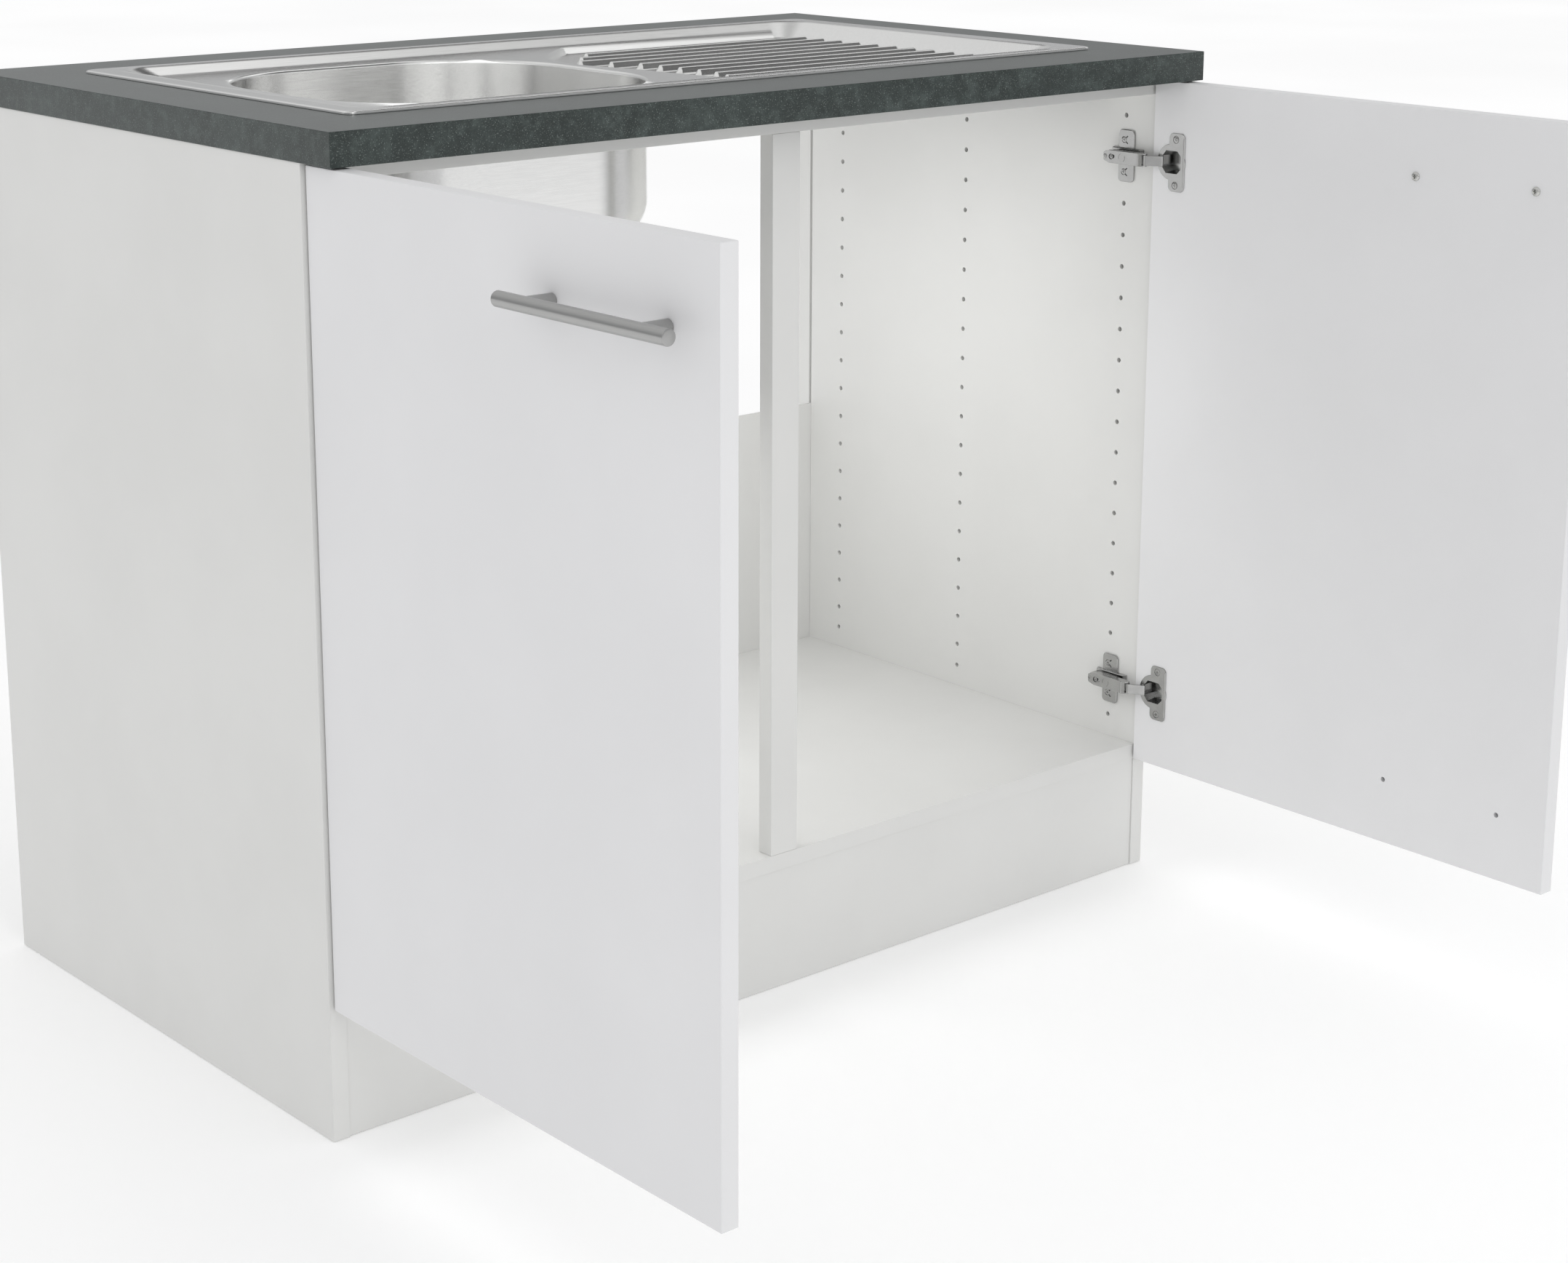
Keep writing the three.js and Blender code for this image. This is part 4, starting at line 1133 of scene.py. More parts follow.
def handle_leg(leg, outward, bar_radius, bar_centre):
    low, high = span(leg)
    radius, y = (high.y - low.y) / 2, (low.y + high.y) / 2
    face = low.x if outward > 0 else high.x
    reach = abs(bar_centre.x - face)
    stem = turned([(0, 0), (radius - LEG_FOOT_CHAMFER, 0), (radius, LEG_FOOT_CHAMFER),
                   (radius, reach), (0, reach)], 40)
    stem = moved(stem, aim((outward, 0, 0), (face, y, bar_centre.z)))
    saddle = plug(bar_radius + SADDLE_FIT, -SADDLE_HALF_LENGTH, SADDLE_HALF_LENGTH, 96)
    saddle = moved(saddle, aim((0, 1, 0), (bar_centre.x, y, bar_centre.z)))
    settle(f"{leg}_turned", [cut(stem, saddle)], HANDLE_STEEL, "handle_steel", leg)


def handle_screw(screw, outward):
    low, high = span(screw)
    centre = middle_of(screw)
    centre.x = low.x + SCREW_HEAD if outward > 0 else high.x - SCREW_HEAD
    length = high.x - low.x - SCREW_HEAD
    shape = pan_screw((high.z - low.z) / 2, SCREW_HEAD, SCREW_SHANK, length)
    shape = moved(shape, aim((-outward, 0, 0), centre))
    settle(f"{screw}_cross", [shape], ZINC, "zinc_steel", screw)


def handle(side, outward):
    node = f"{side}_handle_bar"
    low, high = span(node)
    radius, centre = (high.z - low.z) / 2, middle_of(node)
    bar = moved(bar_shape(radius, high.y - low.y, BAR_END_CHAMFER), aim((0, 1, 0), centre))
    settle(f"{side}_handle_rod", [bar], HANDLE_STEEL, "handle_steel", node)
    for place in ("inner", "outer"):
        handle_leg(f"{side}_handle_leg_{place}", outward, radius, centre)
        handle_screw(f"{side}_handle_screw_{place}", outward)


handle("left", -1)
handle("right", 1)

# %% [markdown]
# ## Concealed hinges
# Each hinge is four pressed pieces and two pins: a cross-shaped plate on the side panel, an arm
# that clips over its ridge, a bent lever, and a cup in the door. They are drawn once in a frame of
# their own and mirrored for the other side. In that frame u runs inwards from the side panel's
# outer face, v runs out of the cabinet from its front edge, and w runs up from the hinge's middle.
# The sheet pieces are outlines pushed along w or u; slots, pockets and countersinks are cut into
# them.

# %% Frames and outlines for the hinges
BOARD = span("left_side")[1].x - span("left_side")[0].x      # so the inner face is at u = BOARD
ALONG_U = Matrix(((0, 0, 1, 0), (1, 0, 0, 0), (0, 1, 0, 0), (0, 0, 0, 1)))


def hinge_frame(side, row):
    """Carries (u, v, w) of a hinge into the unit."""
    inward = 1 if side == "left" else -1
    low, high = span(f"{side}_side")
    face = low.x if inward > 0 else high.x
    height = middle_of(f"{side}_{row}_hinge_plate").z
    return Matrix(((inward, 0, 0, face), (0, -1, 0, low.y), (0, 0, 1, height), (0, 0, 0, 1)))


def counter_clockwise(outline):
    pairs = zip(outline, outline[1:] + outline[:1])
    area = sum(x1 * y2 - x2 * y1 for (x1, y1), (x2, y2) in pairs)
    return outline if area > 0 else outline[::-1]


def bent(start, corner, end, share):
    """A point on the curve that leaves start and reaches end as if by way of the corner."""
    return start * (1 - share) ** 2 + corner * 2 * share * (1 - share) + end * share ** 2


def softened(outline, radius, steps=3):
    """The same outline with every corner rounded, as a bend in sheet metal is."""
    outline = counter_clockwise(outline)
    points = []
    for index, corner in enumerate(outline):
        corner = Vector(corner)
        back = Vector(outline[index - 1]) - corner
        ahead = Vector(outline[(index + 1) % len(outline)]) - corner
        reach = min(radius, back.length * 0.45, ahead.length * 0.45)
        start, end = corner + back.normalized() * reach, corner + ahead.normalized() * reach
        points += [tuple(bent(start, corner, end, step / steps)) for step in range(steps + 1)]
    return points


def slab(outline, low, high, edge=0.0):
    """An outline in (v, w), pushed along u."""
    return moved(pushed(counter_clockwise(outline), low, high, edge), ALONG_U)


def u_place(u, v, w):
    """Where a turned piece stands when it points along +u."""
    return Matrix.Translation((u, v, w)) @ ALONG_U


print("the side panels' inner faces are at u =", round(BOARD, 2))

# %% Plate
PLATE_TOP = BOARD + 2.2
HOLES_V = -37.5
PLATE_CENTRE_V = -34.5
TONGUE_TOP = BOARD + 5
RIDGE_TOP = 31.5
RIDGE_FRONT = -24
RIDGE_REAR = -50.4
PLATE_SCREW = 3.0
SCREWS_W = (-16, 16)
SLIT_ANGLES = (-38, 38)


def slit(w, angle):
    """A narrow slit that leaves the plate's screw towards the door."""
    bar = rounded_box((1.6, -0.6, -1.7), (6.4, 0.6, 1), 0)
    turn = Matrix.Rotation(math.radians(angle), 4, "Z")
    return moved(bar, u_place(PLATE_TOP, HOLES_V, w) @ turn)


def hinge_plate():
    wings = slab(round_rectangle(20.2, 52, 4, PLATE_CENTRE_V, 0, 4), BOARD, PLATE_TOP, 0.5)
    tongue = [(BOARD, RIDGE_FRONT + 12), (TONGUE_TOP, RIDGE_FRONT + 10), (TONGUE_TOP, RIDGE_REAR),
              (BOARD, RIDGE_REAR - 3)]
    ridge = [(BOARD, RIDGE_FRONT), (RIDGE_TOP - 4, RIDGE_FRONT), (RIDGE_TOP, RIDGE_FRONT - 4),
             (RIDGE_TOP, RIDGE_REAR), (BOARD, RIDGE_REAR - 1)]
    pegs = [moved(turned([(0, 0), (1.6, 0), *threaded(2.0, 2.4, 0.8, 8.0), (2.2, 9), (0, 9)], 16),
                  u_place(BOARD - 8.5, HOLES_V, w)) for w in SCREWS_W]
    sinks = [moved(turned([(0, -1.2), (2.4, -1.2), (PLATE_SCREW + 0.9, 0.6), (0, 0.6)], 28),
                   u_place(PLATE_TOP, HOLES_V, w)) for w in SCREWS_W]
    slits = [slit(w, angle) for w in SCREWS_W for angle in SLIT_ANGLES]
    wings = cut_in_turn(wings, sinks + slits)
    heads = [moved(countersunk_head(PLATE_SCREW, 0.3), u_place(PLATE_TOP - 0.55, HOLES_V, w))
             for w in SCREWS_W]
    return [wings, pushed(softened(tongue, 0.8), -8, 8, 0.6),
            pushed(softened(ridge, 0.8), -5, 5, 0.4), *pegs, *heads]


print("hinge plate from u =", round(BOARD, 2), "to", round(PLATE_TOP, 2), "ridge to", RIDGE_TOP)

# %% Arm
ARM_PIN = (28.3246, -0.3376)
CUP_PIN = (19, 13)
PIN_BORE = 1.15
PIN_BORE_HALF = 20
ARM_TOP = ARM_PIN[0] + 4.7
ARM_HALF = 6.5
ARM_WALL = 1.2
ARM_REAR = -53.4
CHEEK = ARM_TOP - 8.4
ARM_TAIL = 4.6
SADDLE_SCREW_V = -41.2


def pin_bore(place, radius=PIN_BORE, half=PIN_BORE_HALF):
    return moved(plug(radius, -half, half, 20), Matrix.Translation((*place, 0)))


def bevelled_pin(radius, half, inset, run, sides):
    """A pin about Z whose ends are bevelled by inset across it and by run along it."""
    return turned([(0, -half), (radius - inset, -half), (radius, run - half), (radius, half - run),
                   (radius - inset, half), (0, half)], sides)


def arm_plan():
    """The arm seen from above its top: straight sides, then a round tail."""
    half = ARM_HALF
    rear = arc(ARM_REAR + ARM_TAIL, 0, ARM_TAIL, 112, 248, 10)
    return [(9, -half), (9, half), (-43.5, half), (-45.6, half - 0.8), *rear, (-45.6, 0.8 - half),
            (-43.5, -half)]


def curved_groove(start, end):
    outer, inner = arc(-27, 0, 4.3, start, end, 8), arc(-27, 0, 3.8, end, start, 8)
    return slab(outer + inner, ARM_TOP - 0.35, ARM_TOP + 1)


def keyhole():
    wide = arc(SADDLE_SCREW_V, 0, 2.9, 60, 300, 12)
    narrow = arc(SADDLE_SCREW_V + 5, 0, 1.6, -90, 90, 8)
    return slab(wide + narrow, ARM_TOP - ARM_WALL - 0.5, ARM_TOP + 1)


def hinge_arm():
    u, v = ARM_PIN
    section = softened([
        (CHEEK, ARM_REAR), (ARM_TOP - 2, ARM_REAR), (ARM_TOP, ARM_REAR + 3), (ARM_TOP, v - 5.2),
        (u + 3.1, v - 0.1), (u + 1.9, v + 1.4), (u + 0.3, v + 2.0), (u - 1.3, v + 1.7),
        (u - 2.4, v + 0.7), (u - 2.7, v - 2.7), (CHEEK, v - 5.7)], 0.7)
    body = pushed(section, -ARM_HALF, ARM_HALF, 0.35)
    body = combine(body, [slab(arm_plan(), CHEEK - 2, ARM_TOP + 2)], "INTERSECT")
    inside_half = ARM_HALF - ARM_WALL
    channel = rounded_box(
        (CHEEK - 2, ARM_REAR - 2, -inside_half), (ARM_TOP - ARM_WALL, v + 17, inside_half), 0)
    body = cut_in_turn(body, (
        channel, pin_bore(ARM_PIN), keyhole(), curved_groove(110, 200), curved_groove(-60, 30)))
    tail_screw = moved(countersunk_head(2.6, 0.4), u_place(ARM_TOP, ARM_REAR + ARM_TAIL, 0))
    saddle_screw = moved(countersunk_head(2.3, 0.3), u_place(ARM_TOP - 0.5, SADDLE_SCREW_V, 0))
    bead = moved(bevelled_pin(0.95, 6.2, 0.25, 0.3, 16),
                 Matrix.Translation((ARM_TOP - 0.55, v - 5.6, 0)))
    return [body, tail_screw, saddle_screw, bead]


print("hinge arm from v =", ARM_REAR, "with its top at u =", round(ARM_TOP, 2))

# %% Lever and pins
LEVER_HALF = 5
ARM_EYE = 2.3
CUP_EYE = 1.9
PIN_RADIUS = 1.1
ARM_PIN_LENGTH = 13
CUP_PIN_LENGTH = 16.4


def hinge_lever():
    (au, av), (cu, cv) = ARM_PIN, CUP_PIN
    strip = pushed(softened([
        (au + 1.9, av - 1.4), (au + 3.5, av + 1.2), (au + 3.3, av + 3.5), (cu + 3.6, cv + 3.9),
        (cu + 2.2, cv + 4.5), (cu + 0.4, cv + 1.6), (cu + 0.9, cv + 1.1), (cu + 1.9, cv + 2.6),
        (au + 0.3, av + 3.9), (au - 1.4, av + 1.5)], 0.5), -LEVER_HALF, LEVER_HALF, 0.2)
    eyes = [moved(bevelled_pin(radius, LEVER_HALF, 0.2, 0.2, 24), Matrix.Translation((*place, 0)))
            for place, radius in ((ARM_PIN, ARM_EYE), (CUP_PIN, CUP_EYE))]
    return [cut_in_turn(fuse(strip, *eyes), (pin_bore(ARM_PIN), pin_bore(CUP_PIN)))]


def hinge_pin(place, length):
    pin = bevelled_pin(PIN_RADIUS, length / 2, 0.3, 0.3, 20)
    return [moved(pin, Matrix.Translation((*place, 0)))]


print("hinge lever, pin to pin:", round(math.dist(ARM_PIN, CUP_PIN), 2))

# %% Cup
CUP_FACE = 19.5
CUP_V = 26.7
WING_FRONT = CUP_V + 17.1
WING_REAR = CUP_V - 3.2
WING_SPAN = 57.4
CUP_SCREW_V = 32.2
CUP_SCREW_W = 22.5
CUP_SCREW = 3.5
CUP_PIN_BORE = 1.12
CUP_PIN_HALF = 8.4


def pocket_outline(inset):
    """A slot for the lever that opens into an octagon; only the octagon narrows with inset."""
    slot, high, side = 5.6, 11 - inset, 6 - inset
    near, shoulder, far = CUP_PIN[1] - 2.6, CUP_PIN[1] + ARM_EYE, 39.1 - inset
    return [(near, -slot), (near, slot), (shoulder, slot), (shoulder + slot - 1, high),
            (far - 5, high), (far, side), (far, -side), (far - 5, -high),
            (shoulder + slot - 1, -high), (shoulder, -slot)]


def hinge_cup():
    top = CUP_FACE + 1
    disc = turned([(0, -11.7), (15.6, -11.7), (16.6, -11.2), (17.2, -10.2), (17.2, 0), (17.8, 0),
                   (17.8, 0.6), (17.4, 1), (0, 1)], 72)
    wings = round_rectangle(
        WING_FRONT - WING_REAR, WING_SPAN, 5, (WING_FRONT + WING_REAR) / 2, 0, 5)
    body = fuse(moved(disc, u_place(CUP_FACE, CUP_V, 0)), slab(wings, CUP_FACE, top, 0.3))
    rolled = moved(bevelled_pin(0.9, 24, 0.4, 0.6, 12),
                   Matrix.Translation((top - 0.45, WING_FRONT - 1.6, 0)))
    depths = ((1.6, CUP_FACE - 10.5), (0.5, CUP_FACE - 3), (0, top - 0.4), (-0.4, top + 0.5))
    pocket = skin([level(counter_clockwise(pocket_outline(inset)), height)
                   for inset, height in depths])
    body = cut(body, moved(pocket, ALONG_U))
    body = cut(body, pin_bore(CUP_PIN, CUP_PIN_BORE, CUP_PIN_HALF))
    heads = []
    for w in (-CUP_SCREW_W, CUP_SCREW_W):
        place = u_place(top, CUP_SCREW_V, w)
        groove = turned([(0, -0.7), (CUP_SCREW, -0.7), (CUP_SCREW + 0.5, 0.4), (0, 0.4)], 28)
        body = cut(body, moved(groove, place))
        sunk = place @ Matrix.Translation((0, 0, -0.25))
        heads.append(moved(countersunk_head(CUP_SCREW - 0.1, 0.35), sunk))
    return [body, rolled, *heads]


# %% Four hinges in place
def hinge(side, row):
    place = hinge_frame(side, row)
    name = f"{side}_{row}"
    for piece, shapes, material, slot in (
            ("hinge_plate", hinge_plate(), NICKEL, "hinge_nickel"),
            ("hinge_arm", hinge_arm(), NICKEL, "hinge_nickel"),
            ("hinge_lever", hinge_lever(), NICKEL, "hinge_nickel"),
            ("hinge_cup", hinge_cup(), NICKEL, "hinge_nickel"),
            ("arm_pin", hinge_pin(ARM_PIN, ARM_PIN_LENGTH), ZINC, "zinc_steel"),
            ("cup_pin", hinge_pin(CUP_PIN, CUP_PIN_LENGTH), ZINC, "zinc_steel")):
        settle(f"{name}_{piece}_formed", [moved(shape, place) for shape in shapes],
               material, slot, f"{name}_{piece}")


for side in ("left", "right"):
    for row in ("lower", "upper"):
        hinge(side, row)

# %% [markdown]
# ## Seal and clamps
# A soft strip runs all round under the sink's rim, and four bent steel hooks hang on the sink's
# tabs and press up under the worktop. The strip is a skin drawn through eight rings, the last
# joined to the first. A hook is its own bent section, with rounded bends, pushed sideways by its
# width.

# %% Seal
SEAL_SECTION = (
    (3.3, 0), (3, 0.5), (3.5, 1.2), (5, 1.4), (7.2, 1.4), (8.5, 1.2), (9, 0.5), (8.7, 0))


def sink_seal():
    low = span("sink_seal")[0]
    rings = []
    for inset, rise in SEAL_SECTION:
        corner = max(SINK_CORNER - inset, 0.4)
        outline = round_rectangle(
            SINK_WIDTH - 2 * inset, SINK_DEPTH - 2 * inset, corner, 0, SINK_Y)
        rings.append(level(outline, low.z + rise))
    settle("rim_seal_strip", [skin(rings, closed=True)], RUBBER, "black_rubber", "sink_seal")


sink_seal()

# %% Clamps
CLAMP_WIDTH = 14
TAB_GAP = 0.7


def clamp_section(low, high):
    """The hook in (out, z), with out measured from the tab's middle."""
    saddle, foot, toe_top = low + 22.9, low, low + 7.7
    return [(-CLAMP_BACK, saddle - 2), (TAB_GAP, saddle - 2), (TAB_GAP, foot), (20.5, foot),
            (20.5, toe_top), (16.5, toe_top), (16.5, foot + 2), (CLAMP_BACK, foot + 2),
            (CLAMP_BACK, high), (TAB_GAP, high), (TAB_GAP, saddle), (-TAB_GAP, saddle),
            (-TAB_GAP, high), (-CLAMP_BACK, high)]


def sink_clamp(number):
    node = f"sink_clamp_{number}"
    low, high = span(node)
    side = 1 if high.x > 0 else -1
    tab = low.x + CLAMP_BACK if side > 0 else high.x - CLAMP_BACK
    place = Matrix(((side, 0, 0, tab), (0, 0, 1, (low.y + high.y) / 2), (0, 1, 0, 0), (0, 0, 0, 1)))
    section = softened(clamp_section(low.z, high.z), 0.6)
    hook = moved(pushed(section, -CLAMP_WIDTH / 2, CLAMP_WIDTH / 2, 0.25), place)
    settle(f"{node}_hook", [hook], ZINC, "zinc_steel", node)


for number in range(1, 5):
    sink_clamp(number)

# %% [markdown]
# ## Waste
# A strainer cup hangs in the bowl's drain hole. A rubber gasket and a plastic nut pull it tight
# from below, a plastic tail carries the water on, and a perforated basket with a small knob sits in
# the cup. All of them are turned about the drain's axis, from profiles with rounded or bevelled
# corners; the grip notches, the holes and the side spigot's bore are cut afterwards.

# %% Strainer cup, gasket, nut and tail
FITTING_SIDES = 72
SPIGOT_RADIUS = 8.5
SPIGOT_BORE = 6
HOSE_RADIUS = 9.0
BARB_PITCH = 2.4
BARB_COUNT = 4
BARB_DEPTH = 0.8
CUP_WALL = 43
SPIGOT_ROOT = 41.5           # where the spigot starts, inside the cup's wall
NUT_BORE = 43.3
TAIL_BORE = 19
TAIL_RIDGE = 22
TAIL_VALLEY = 21.2
TAIL_NUT = 10                # height of the grip nut at the tail's top


def around_drain(profile):
    return moved(turned(profile, FITTING_SIDES), Matrix.Translation((BOWL_X, SINK_Y, 0)))


def cutters_around(count, ring, radius, low, high):
    """Round cutters, evenly spaced on a ring about the drain."""
    notches = []
    for index in range(count):
        angle = 2 * math.pi * index / count
        x, y = BOWL_X + ring * math.cos(angle), SINK_Y + ring * math.sin(angle)
        notches.append(moved(plug(radius, low, high, 12), Matrix.Translation((x, y, 0))))
    return notches


def strainer_cup():
    low, high = span("strainer_body")
    top = high.z
    flange = high.x - BOWL_X
    section = [(TAIL_BORE, low.z), (CUP_WALL, low.z), (CUP_WALL, top - 1.5), (flange, top - 1.5),
               (flange, top), (40.5, top), (40.5, low.z + 2.5), (TAIL_BORE, low.z + 2.5)]
    cup = around_drain(softened(section, 1.2, 2))
    start = BOWL_X - SPIGOT_ROOT
    reach = start - low.x
    barbs = [(0, 0), (SPIGOT_RADIUS, 0)]
    for step in range(BARB_COUNT):
        foot = reach + (step - BARB_COUNT) * BARB_PITCH
        barbs += [(SPIGOT_RADIUS - BARB_DEPTH, foot), (SPIGOT_RADIUS, foot + 2.2)]
    barbs += [(SPIGOT_RADIUS - BARB_DEPTH, reach), (0, reach)]
    place = aim((-1, 0, 0), (start, SINK_Y, span("overflow_hose")[0].z + HOSE_RADIUS))
    spigot = moved(turned(barbs, 32), place)
    bore = moved(plug(SPIGOT_BORE, -4, 60, 24), place)
    body = cut(fuse(cup, spigot), bore)
    settle("strainer_cup", [body], SINK_STEEL, "brushed_steel", "strainer_body")


def drain_rings():
    low, high = span("drain_gasket")
    gasket = [(NUT_BORE, low.z), (53, low.z), (53, low.z + 0.9), (52.4, low.z + 1.2),
              (52.4, high.z - 1.2), (53, high.z - 0.9), (53, high.z), (NUT_BORE, high.z)]
    gasket = around_drain(softened(gasket, 0.35, 2))
    settle("drain_gasket_ring", [gasket], RUBBER, "black_rubber", "drain_gasket")
    low, high = span("ring_nut")
    nut = [(NUT_BORE, low.z), (52.2, low.z), (53, low.z + 1), (53, high.z - 3),
           (51.6, high.z - 2.2), (51.6, high.z), (NUT_BORE, high.z)]
    notches = cutters_around(16, 55.4, 4.2, low.z - 1, high.z - 3.2)
    nut = cut_in_turn(around_drain(softened(nut, 0.6, 2)), notches)
    settle("ring_nut_grip", [nut], PLASTIC, "waste_plastic", "ring_nut")


def outlet():
    low, high = span("outlet_tail")
    lip = high.z - TAIL_NUT
    ridges = [(TAIL_VALLEY if step % 2 else TAIL_RIDGE, low.z + 1.2 * step)
              for step in range(1, 11)]
    tail = around_drain([
        (TAIL_BORE, low.z), (TAIL_VALLEY, low.z), *ridges, (TAIL_RIDGE, lip - 0.8),
        (TAIL_RIDGE, lip), (24.2, lip), (25, lip + 0.8), (25, high.z - 0.6), (24.4, high.z),
        (TAIL_BORE, high.z)])
    tail = cut_in_turn(tail, cutters_around(12, 27.2, 3.2, lip - 1, high.z - 2))
    settle("outlet_tail_pipe", [tail], PLASTIC, "waste_plastic", "outlet_tail")


strainer_cup()
drain_rings()
outlet()

# %% Basket
BASKET_HOLES = ((8, 21.9, 3.5), (16, 29.2, 1.7), (8, 11, 1.7))    # count, ring and hole radius


def strainer_basket():
    low, high = span("strainer_basket")
    floor = low.z
    lip, shoulder = high.z - 1.2 - floor, 8
    pan = [(0, 0), (32, 0), (33.4, 0.5), (38.6, shoulder - 0.4), (39, shoulder + 0.6),
           (39, lip - 0.6), (39.6, lip), (43.6, lip), (44, lip + 0.6), (43.6, lip + 1.2),
           (38.6, lip + 1.2), (37.9, lip + 0.6), (37.8, shoulder + 1), (37.4, shoulder + 0.5),
           (32.6, 1.5), (31.6, 1.2)]
    knob = [(4.2, 1.2), (2.9, 1.8), (2.4, 3.2), (2.4, 16), (3.4, 16.6), (4.7, 18.2), (5, 20.6),
            (4.6, 23.2), (3.2, 25.2), (1.4, 25.9), (0, 26)]
    basket = around_drain([(radius, floor + rise) for radius, rise in pan + knob])
    for holes in BASKET_HOLES:
        basket = cut_in_turn(basket, cutters_around(*holes, floor - 1, floor + 2.2))
    settle(
        "strainer_basket_pressed", [basket], SINK_STEEL, "brushed_steel", "strainer_basket")


strainer_basket()

# %% [markdown]
# ## Overflow
# A round steel cover with three slots sits on the bowl's left wall. Behind it a plastic elbow leads
# into a corrugated hose, which sweeps under the bowl to the strainer's side spigot. The hose is a
# skin drawn through rings along its path, and the rings' radius alternates to make the corrugation.

# %% Cover and elbow
COVER_SLOTS = (-7, 0, 7)
COVER_SLOT = (18, 3.6)
COVER_DOME = 2.4
COVER_NECK = 13.5


def overflow_cover():
    low, high = span("overflow_cover")
    centre_z = (low.z + high.z) / 2
    radius = (high.y - low.y) / 2
    face = high.x - COVER_DOME
    neck = low.x - face
    profile = [(0, neck), (COVER_NECK - 0.6, neck), (COVER_NECK, neck + 0.6), (COVER_NECK, 0),
               (radius, 0), (radius, 0.7), (radius - 1, 1.5), (radius - 4, 2.1),
               (radius - 9, COVER_DOME), (0, COVER_DOME)]
    cover = moved(turned(profile, 64), aim((1, 0, 0), (face, SINK_Y, centre_z)))
    length, height = COVER_SLOT
    outline = round_rectangle(length, height, height / 2 - 0.05, 0, 0, 6)
    cover = cut_in_turn(cover, [
        moved(pushed(outline, -12, 12), u_place(face, SINK_Y, centre_z + offset))
        for offset in COVER_SLOTS])
    settle("overflow_cover_slotted", [cover], SINK_STEEL, "brushed_steel", "overflow_cover")


def overflow_elbow():
    low, high = span("overflow_elbow")
    radius = (high.y - low.y) / 2
    centre_z = high.z - radius
    depth = high.x - low.x
    drop = centre_z - low.z
    valley = SPIGOT_RADIUS - BARB_DEPTH
    axis_x = span("overflow_hose")[0].x + HOSE_RADIUS
    away = aim((-1, 0, 0), (high.x, SINK_Y, centre_z))
    down = aim((0, 0, -1), (axis_x, SINK_Y, centre_z))
    drum = turned([(0, 0), (radius, 0), (radius, 3), (radius - 1, 3.6), (radius - 1, depth - 4),
                   (radius - 3, depth - 1), (radius - 6, depth), (0, depth)], 56)
    spout = turned([(0, 0), (SPIGOT_RADIUS, 0), (SPIGOT_RADIUS, drop - 7), (valley, drop - 6.9),
                    (SPIGOT_RADIUS, drop - 4.6), (valley, drop - 4.5),
                    (SPIGOT_RADIUS, drop - 2.2), (valley, drop), (0, drop)], 32)
    chamber = moved(plug(radius - 3, -2, depth - 4.5, 48), away)
    bore = moved(plug(SPIGOT_BORE, -1, drop + 4, 24), down)
    elbow = cut_in_turn(fuse(moved(drum, away), moved(spout, down)), (chamber, bore))
    settle("overflow_elbow_moulded", [elbow], PLASTIC, "waste_plastic", "overflow_elbow")


overflow_cover()
overflow_elbow()

# %% Hose
HOSE_SWEEP = 34
HOSE_PITCH = 3.2
HOSE_WAVE = (7.9, 8.6, HOSE_RADIUS, 8.6)
HOSE_CUFF = HOSE_RADIUS - 0.3
HOSE_CUFF_RINGS = 8
HOSE_SIDES = 24
BEND_STEPS = 80


def hose_path(step):
    """Points and directions along the hose, close together: down, round the bend and across."""
    low, high = span("overflow_hose")
    x, z = low.x + HOSE_RADIUS, low.z + HOSE_RADIUS
    corner = Vector((x, SINK_Y, z))
    bend_start = corner + Vector((0, 0, HOSE_SWEEP))
    bend_end = corner + Vector((HOSE_SWEEP, 0, 0))
    fine = [Vector((x, SINK_Y, high.z))]
    fine += [bent(bend_start, corner, bend_end, index / BEND_STEPS)
             for index in range(BEND_STEPS + 1)]
    fine.append(Vector((high.x, SINK_Y, z)))
    lengths = [0]
    for here, after in zip(fine, fine[1:]):
        lengths.append(lengths[-1] + (after - here).length)
    count = int(lengths[-1] / step)
    index = 0
    for number in range(count + 1):
        target = lengths[-1] * number / count
        while index < len(fine) - 2 and lengths[index + 1] < target:
            index += 1
        along = (fine[index + 1] - fine[index]).normalized()
        yield fine[index] + along * (target - lengths[index]), along


def overflow_hose():
    rings = []
    across = Vector((0, 1, 0))
    angles = [2 * math.pi * step / HOSE_SIDES for step in range(HOSE_SIDES)]
    path = list(hose_path(HOSE_PITCH / len(HOSE_WAVE)))
    for number, (point, along) in enumerate(path):
        other = along.cross(across)
        cuff = min(number, len(path) - 1 - number) < HOSE_CUFF_RINGS
        radius = HOSE_CUFF if cuff else HOSE_WAVE[number % len(HOSE_WAVE)]
        rings.append([tuple(point + radius * (math.cos(angle) * across + math.sin(angle) * other))
                      for angle in angles])
    settle("overflow_hose_corrugated", [skin(rings)], PLASTIC, "waste_plastic", "overflow_hose")


overflow_hose()

# %% [markdown]
# ## Floor, light and background
# The photograph is a cut-out on pure white with almost shadowless light. A wide pale floor gives
# the same ground, and an even white sky gives nearly all the light. Brushed steel in an even sky
# looks flat, so glossy faces see another sky, darker near the horizon, with one bright patch, one
# grey and three dark ones. A soft panel stands at the front left. Three small ones fill the places
# that no sky reaches: both halves of the cupboard, and the bowl.

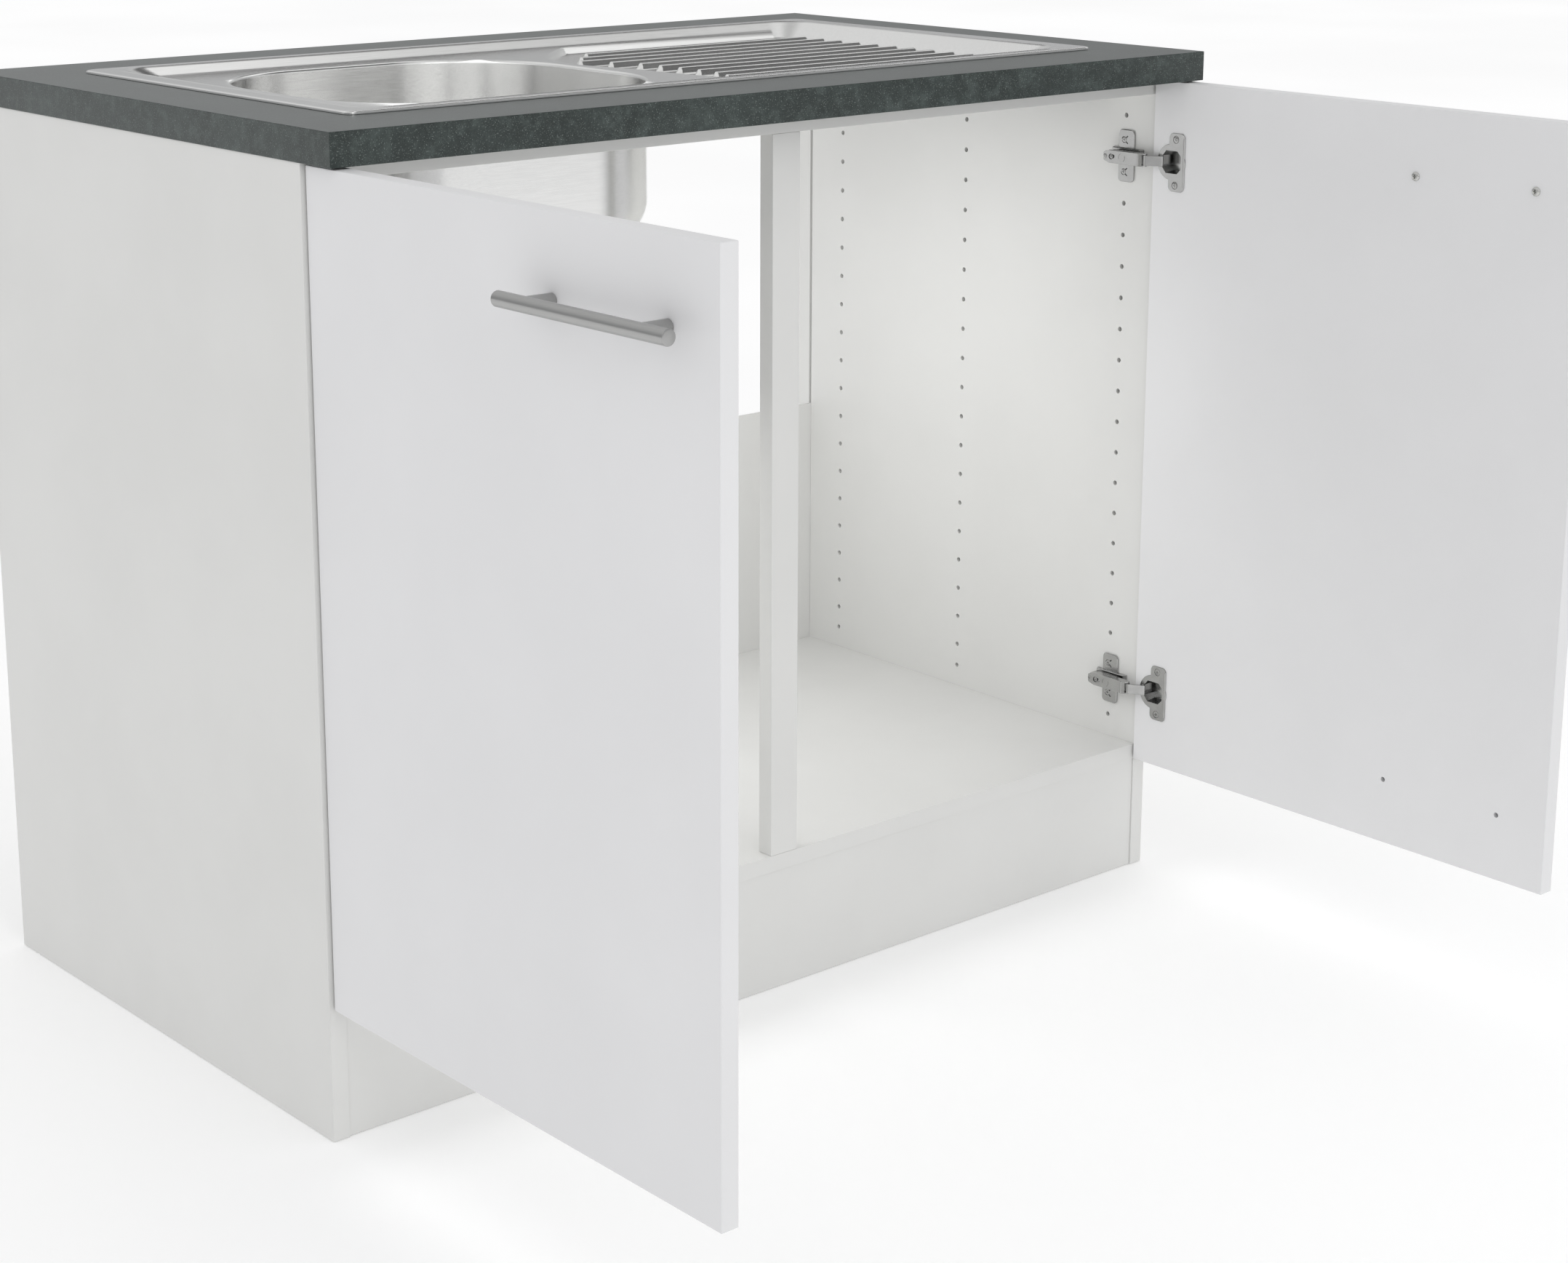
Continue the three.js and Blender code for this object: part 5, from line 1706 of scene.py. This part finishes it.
# %% Floor and light
FLOOR_SIZE = 40
FLOOR_BELOW = 0.0006         # metres below the unit's feet, so that the two never share a plane
FLOOR_GLOW = 0.16
SKY_STRENGTH = 0.93
GLOSS_LOW = (0.46, 0.465, 0.47, 1)
GLOSS_HIGH = (0.90, 0.90, 0.90, 1)
PATCHES = (                  # direction, cosines of its outer and inner edge, brightness
    ((0.0, 0.0, 1.0), 0.72, 0.92, 0.80), ((0.68, 0.22, 0.70), 0.90, 0.97, 1.25),
    ((0.62, -0.40, 0.68), 0.88, 0.97, 0.12), ((0.20, 0.40, 0.89), 0.975, 0.995, 0.16),
    ((0.61, 0.55, 0.54), 0.965, 0.99, 0.08))
GLOSSY_RAY = 3               # the Light Path node's output "Is Glossy Ray"
BOWL_FILL_LIFT = 3


def pale_floor():
    paint = new_paint("pale_studio_floor")
    cloud = paint.noise(paint.place(), 0.7, 3.0)
    tone = paint.mottle(cloud, srgb(246, 246, 246), srgb(250, 250, 250))
    material = paint.finish(
        base_color=tone, roughness=0.85 + 0.05 * cloud, specular_ior_level=0.1,
        emission_color=tone, emission_strength=FLOOR_GLOW)
    shape = bmesh.new()
    half = FLOOR_SIZE / 2
    corners = [shape.verts.new((x, y, -FLOOR_BELOW)) for x, y in
               ((-half, -half), (half, -half), (half, half), (-half, half))]
    shape.faces.new(corners)
    mesh = bpy.data.meshes.new("studio_floor")
    shape.to_mesh(mesh)
    shape.free()
    mesh.materials.append(material)
    floor = bpy.data.objects.new("studio_floor", mesh)
    scene.collection.objects.link(floor)


def white_sky():
    """An even white sky for matt surfaces, and one with patches for glossy ones."""
    world = bpy.data.worlds.new("studio_sky")
    sky = Paint(world)
    direction = sky.node("TexCoord", out=0)
    height = sky.node("SeparateXYZ", None, {0: direction}, out=2)
    leftward = sky.node("SeparateXYZ", None, {0: direction}, out=0) * -1
    even = sky.mix(height.fade(-0.1, 0.5), srgb(232, 233, 234), srgb(255, 255, 255))
    even = sky.mix(leftward.fade(0.1, 0.9), even, srgb(232, 232, 233))
    mirrored = sky.mix(height.fade(0.05, 0.75), GLOSS_LOW, GLOSS_HIGH)
    for place, start, end, tone in PATCHES:
        values = {0: direction, 1: Vector(place).normalized()}
        toward = sky.node("VectorMath", {"operation": "DOT_PRODUCT"}, values, out=1)
        mirrored = sky.mix(toward.fade(start, end), mirrored, (tone, tone, tone, 1))
    seen = sky.mix(sky.node("LightPath", out=GLOSSY_RAY), even, mirrored)
    light = sky.node("Background", None, {"Color": seen, "Strength": SKY_STRENGTH})
    sky.node("OutputWorld", None, {"Surface": light})
    scene.world = world


def soft_panel(name, place, target, size, watts, in_gloss=True):
    """A soft rectangular lamp that the camera doesn't see; in_gloss says if polished faces do."""
    light = bpy.data.lights.new(name, "AREA")
    light.shape = "RECTANGLE"
    light.size, light.size_y = size
    light.energy = watts
    panel = bpy.data.objects.new(name, light)
    scene.collection.objects.link(panel)
    panel.location = place
    panel.rotation_euler = (Vector(target) - Vector(place)).to_track_quat("-Z", "Y").to_euler()
    panel.visible_camera = False
    panel.visible_glossy = in_gloss


pale_floor()
white_sky()
soft_panel("front_left_panel", (-1.2, -4.2, 2.6), (0.1, 0, 0.5), (1.6, 1.2), 12)
soft_panel("cupboard_fill_right", (0.09, 0.23, 0.64), (0.44, 0.31, 0.24), (0.34, 0.34), 0.85, False)
soft_panel("cupboard_fill_left", (-0.22, 0.26, 0.58), (-0.22, 0.26, 0), (0.30, 0.28), 0.9, False)
bowl_mouth = Vector((BOWL_X, SINK_Y, deck_z + BOWL_FILL_LIFT)) * MM
soft_panel("bowl_fill", bowl_mouth, bowl_mouth - Vector((0, 0, 0.1)), (0.28, 0.27), 0.19)
scene.view_settings.view_transform = "Standard"
scene.view_settings.look = "None"
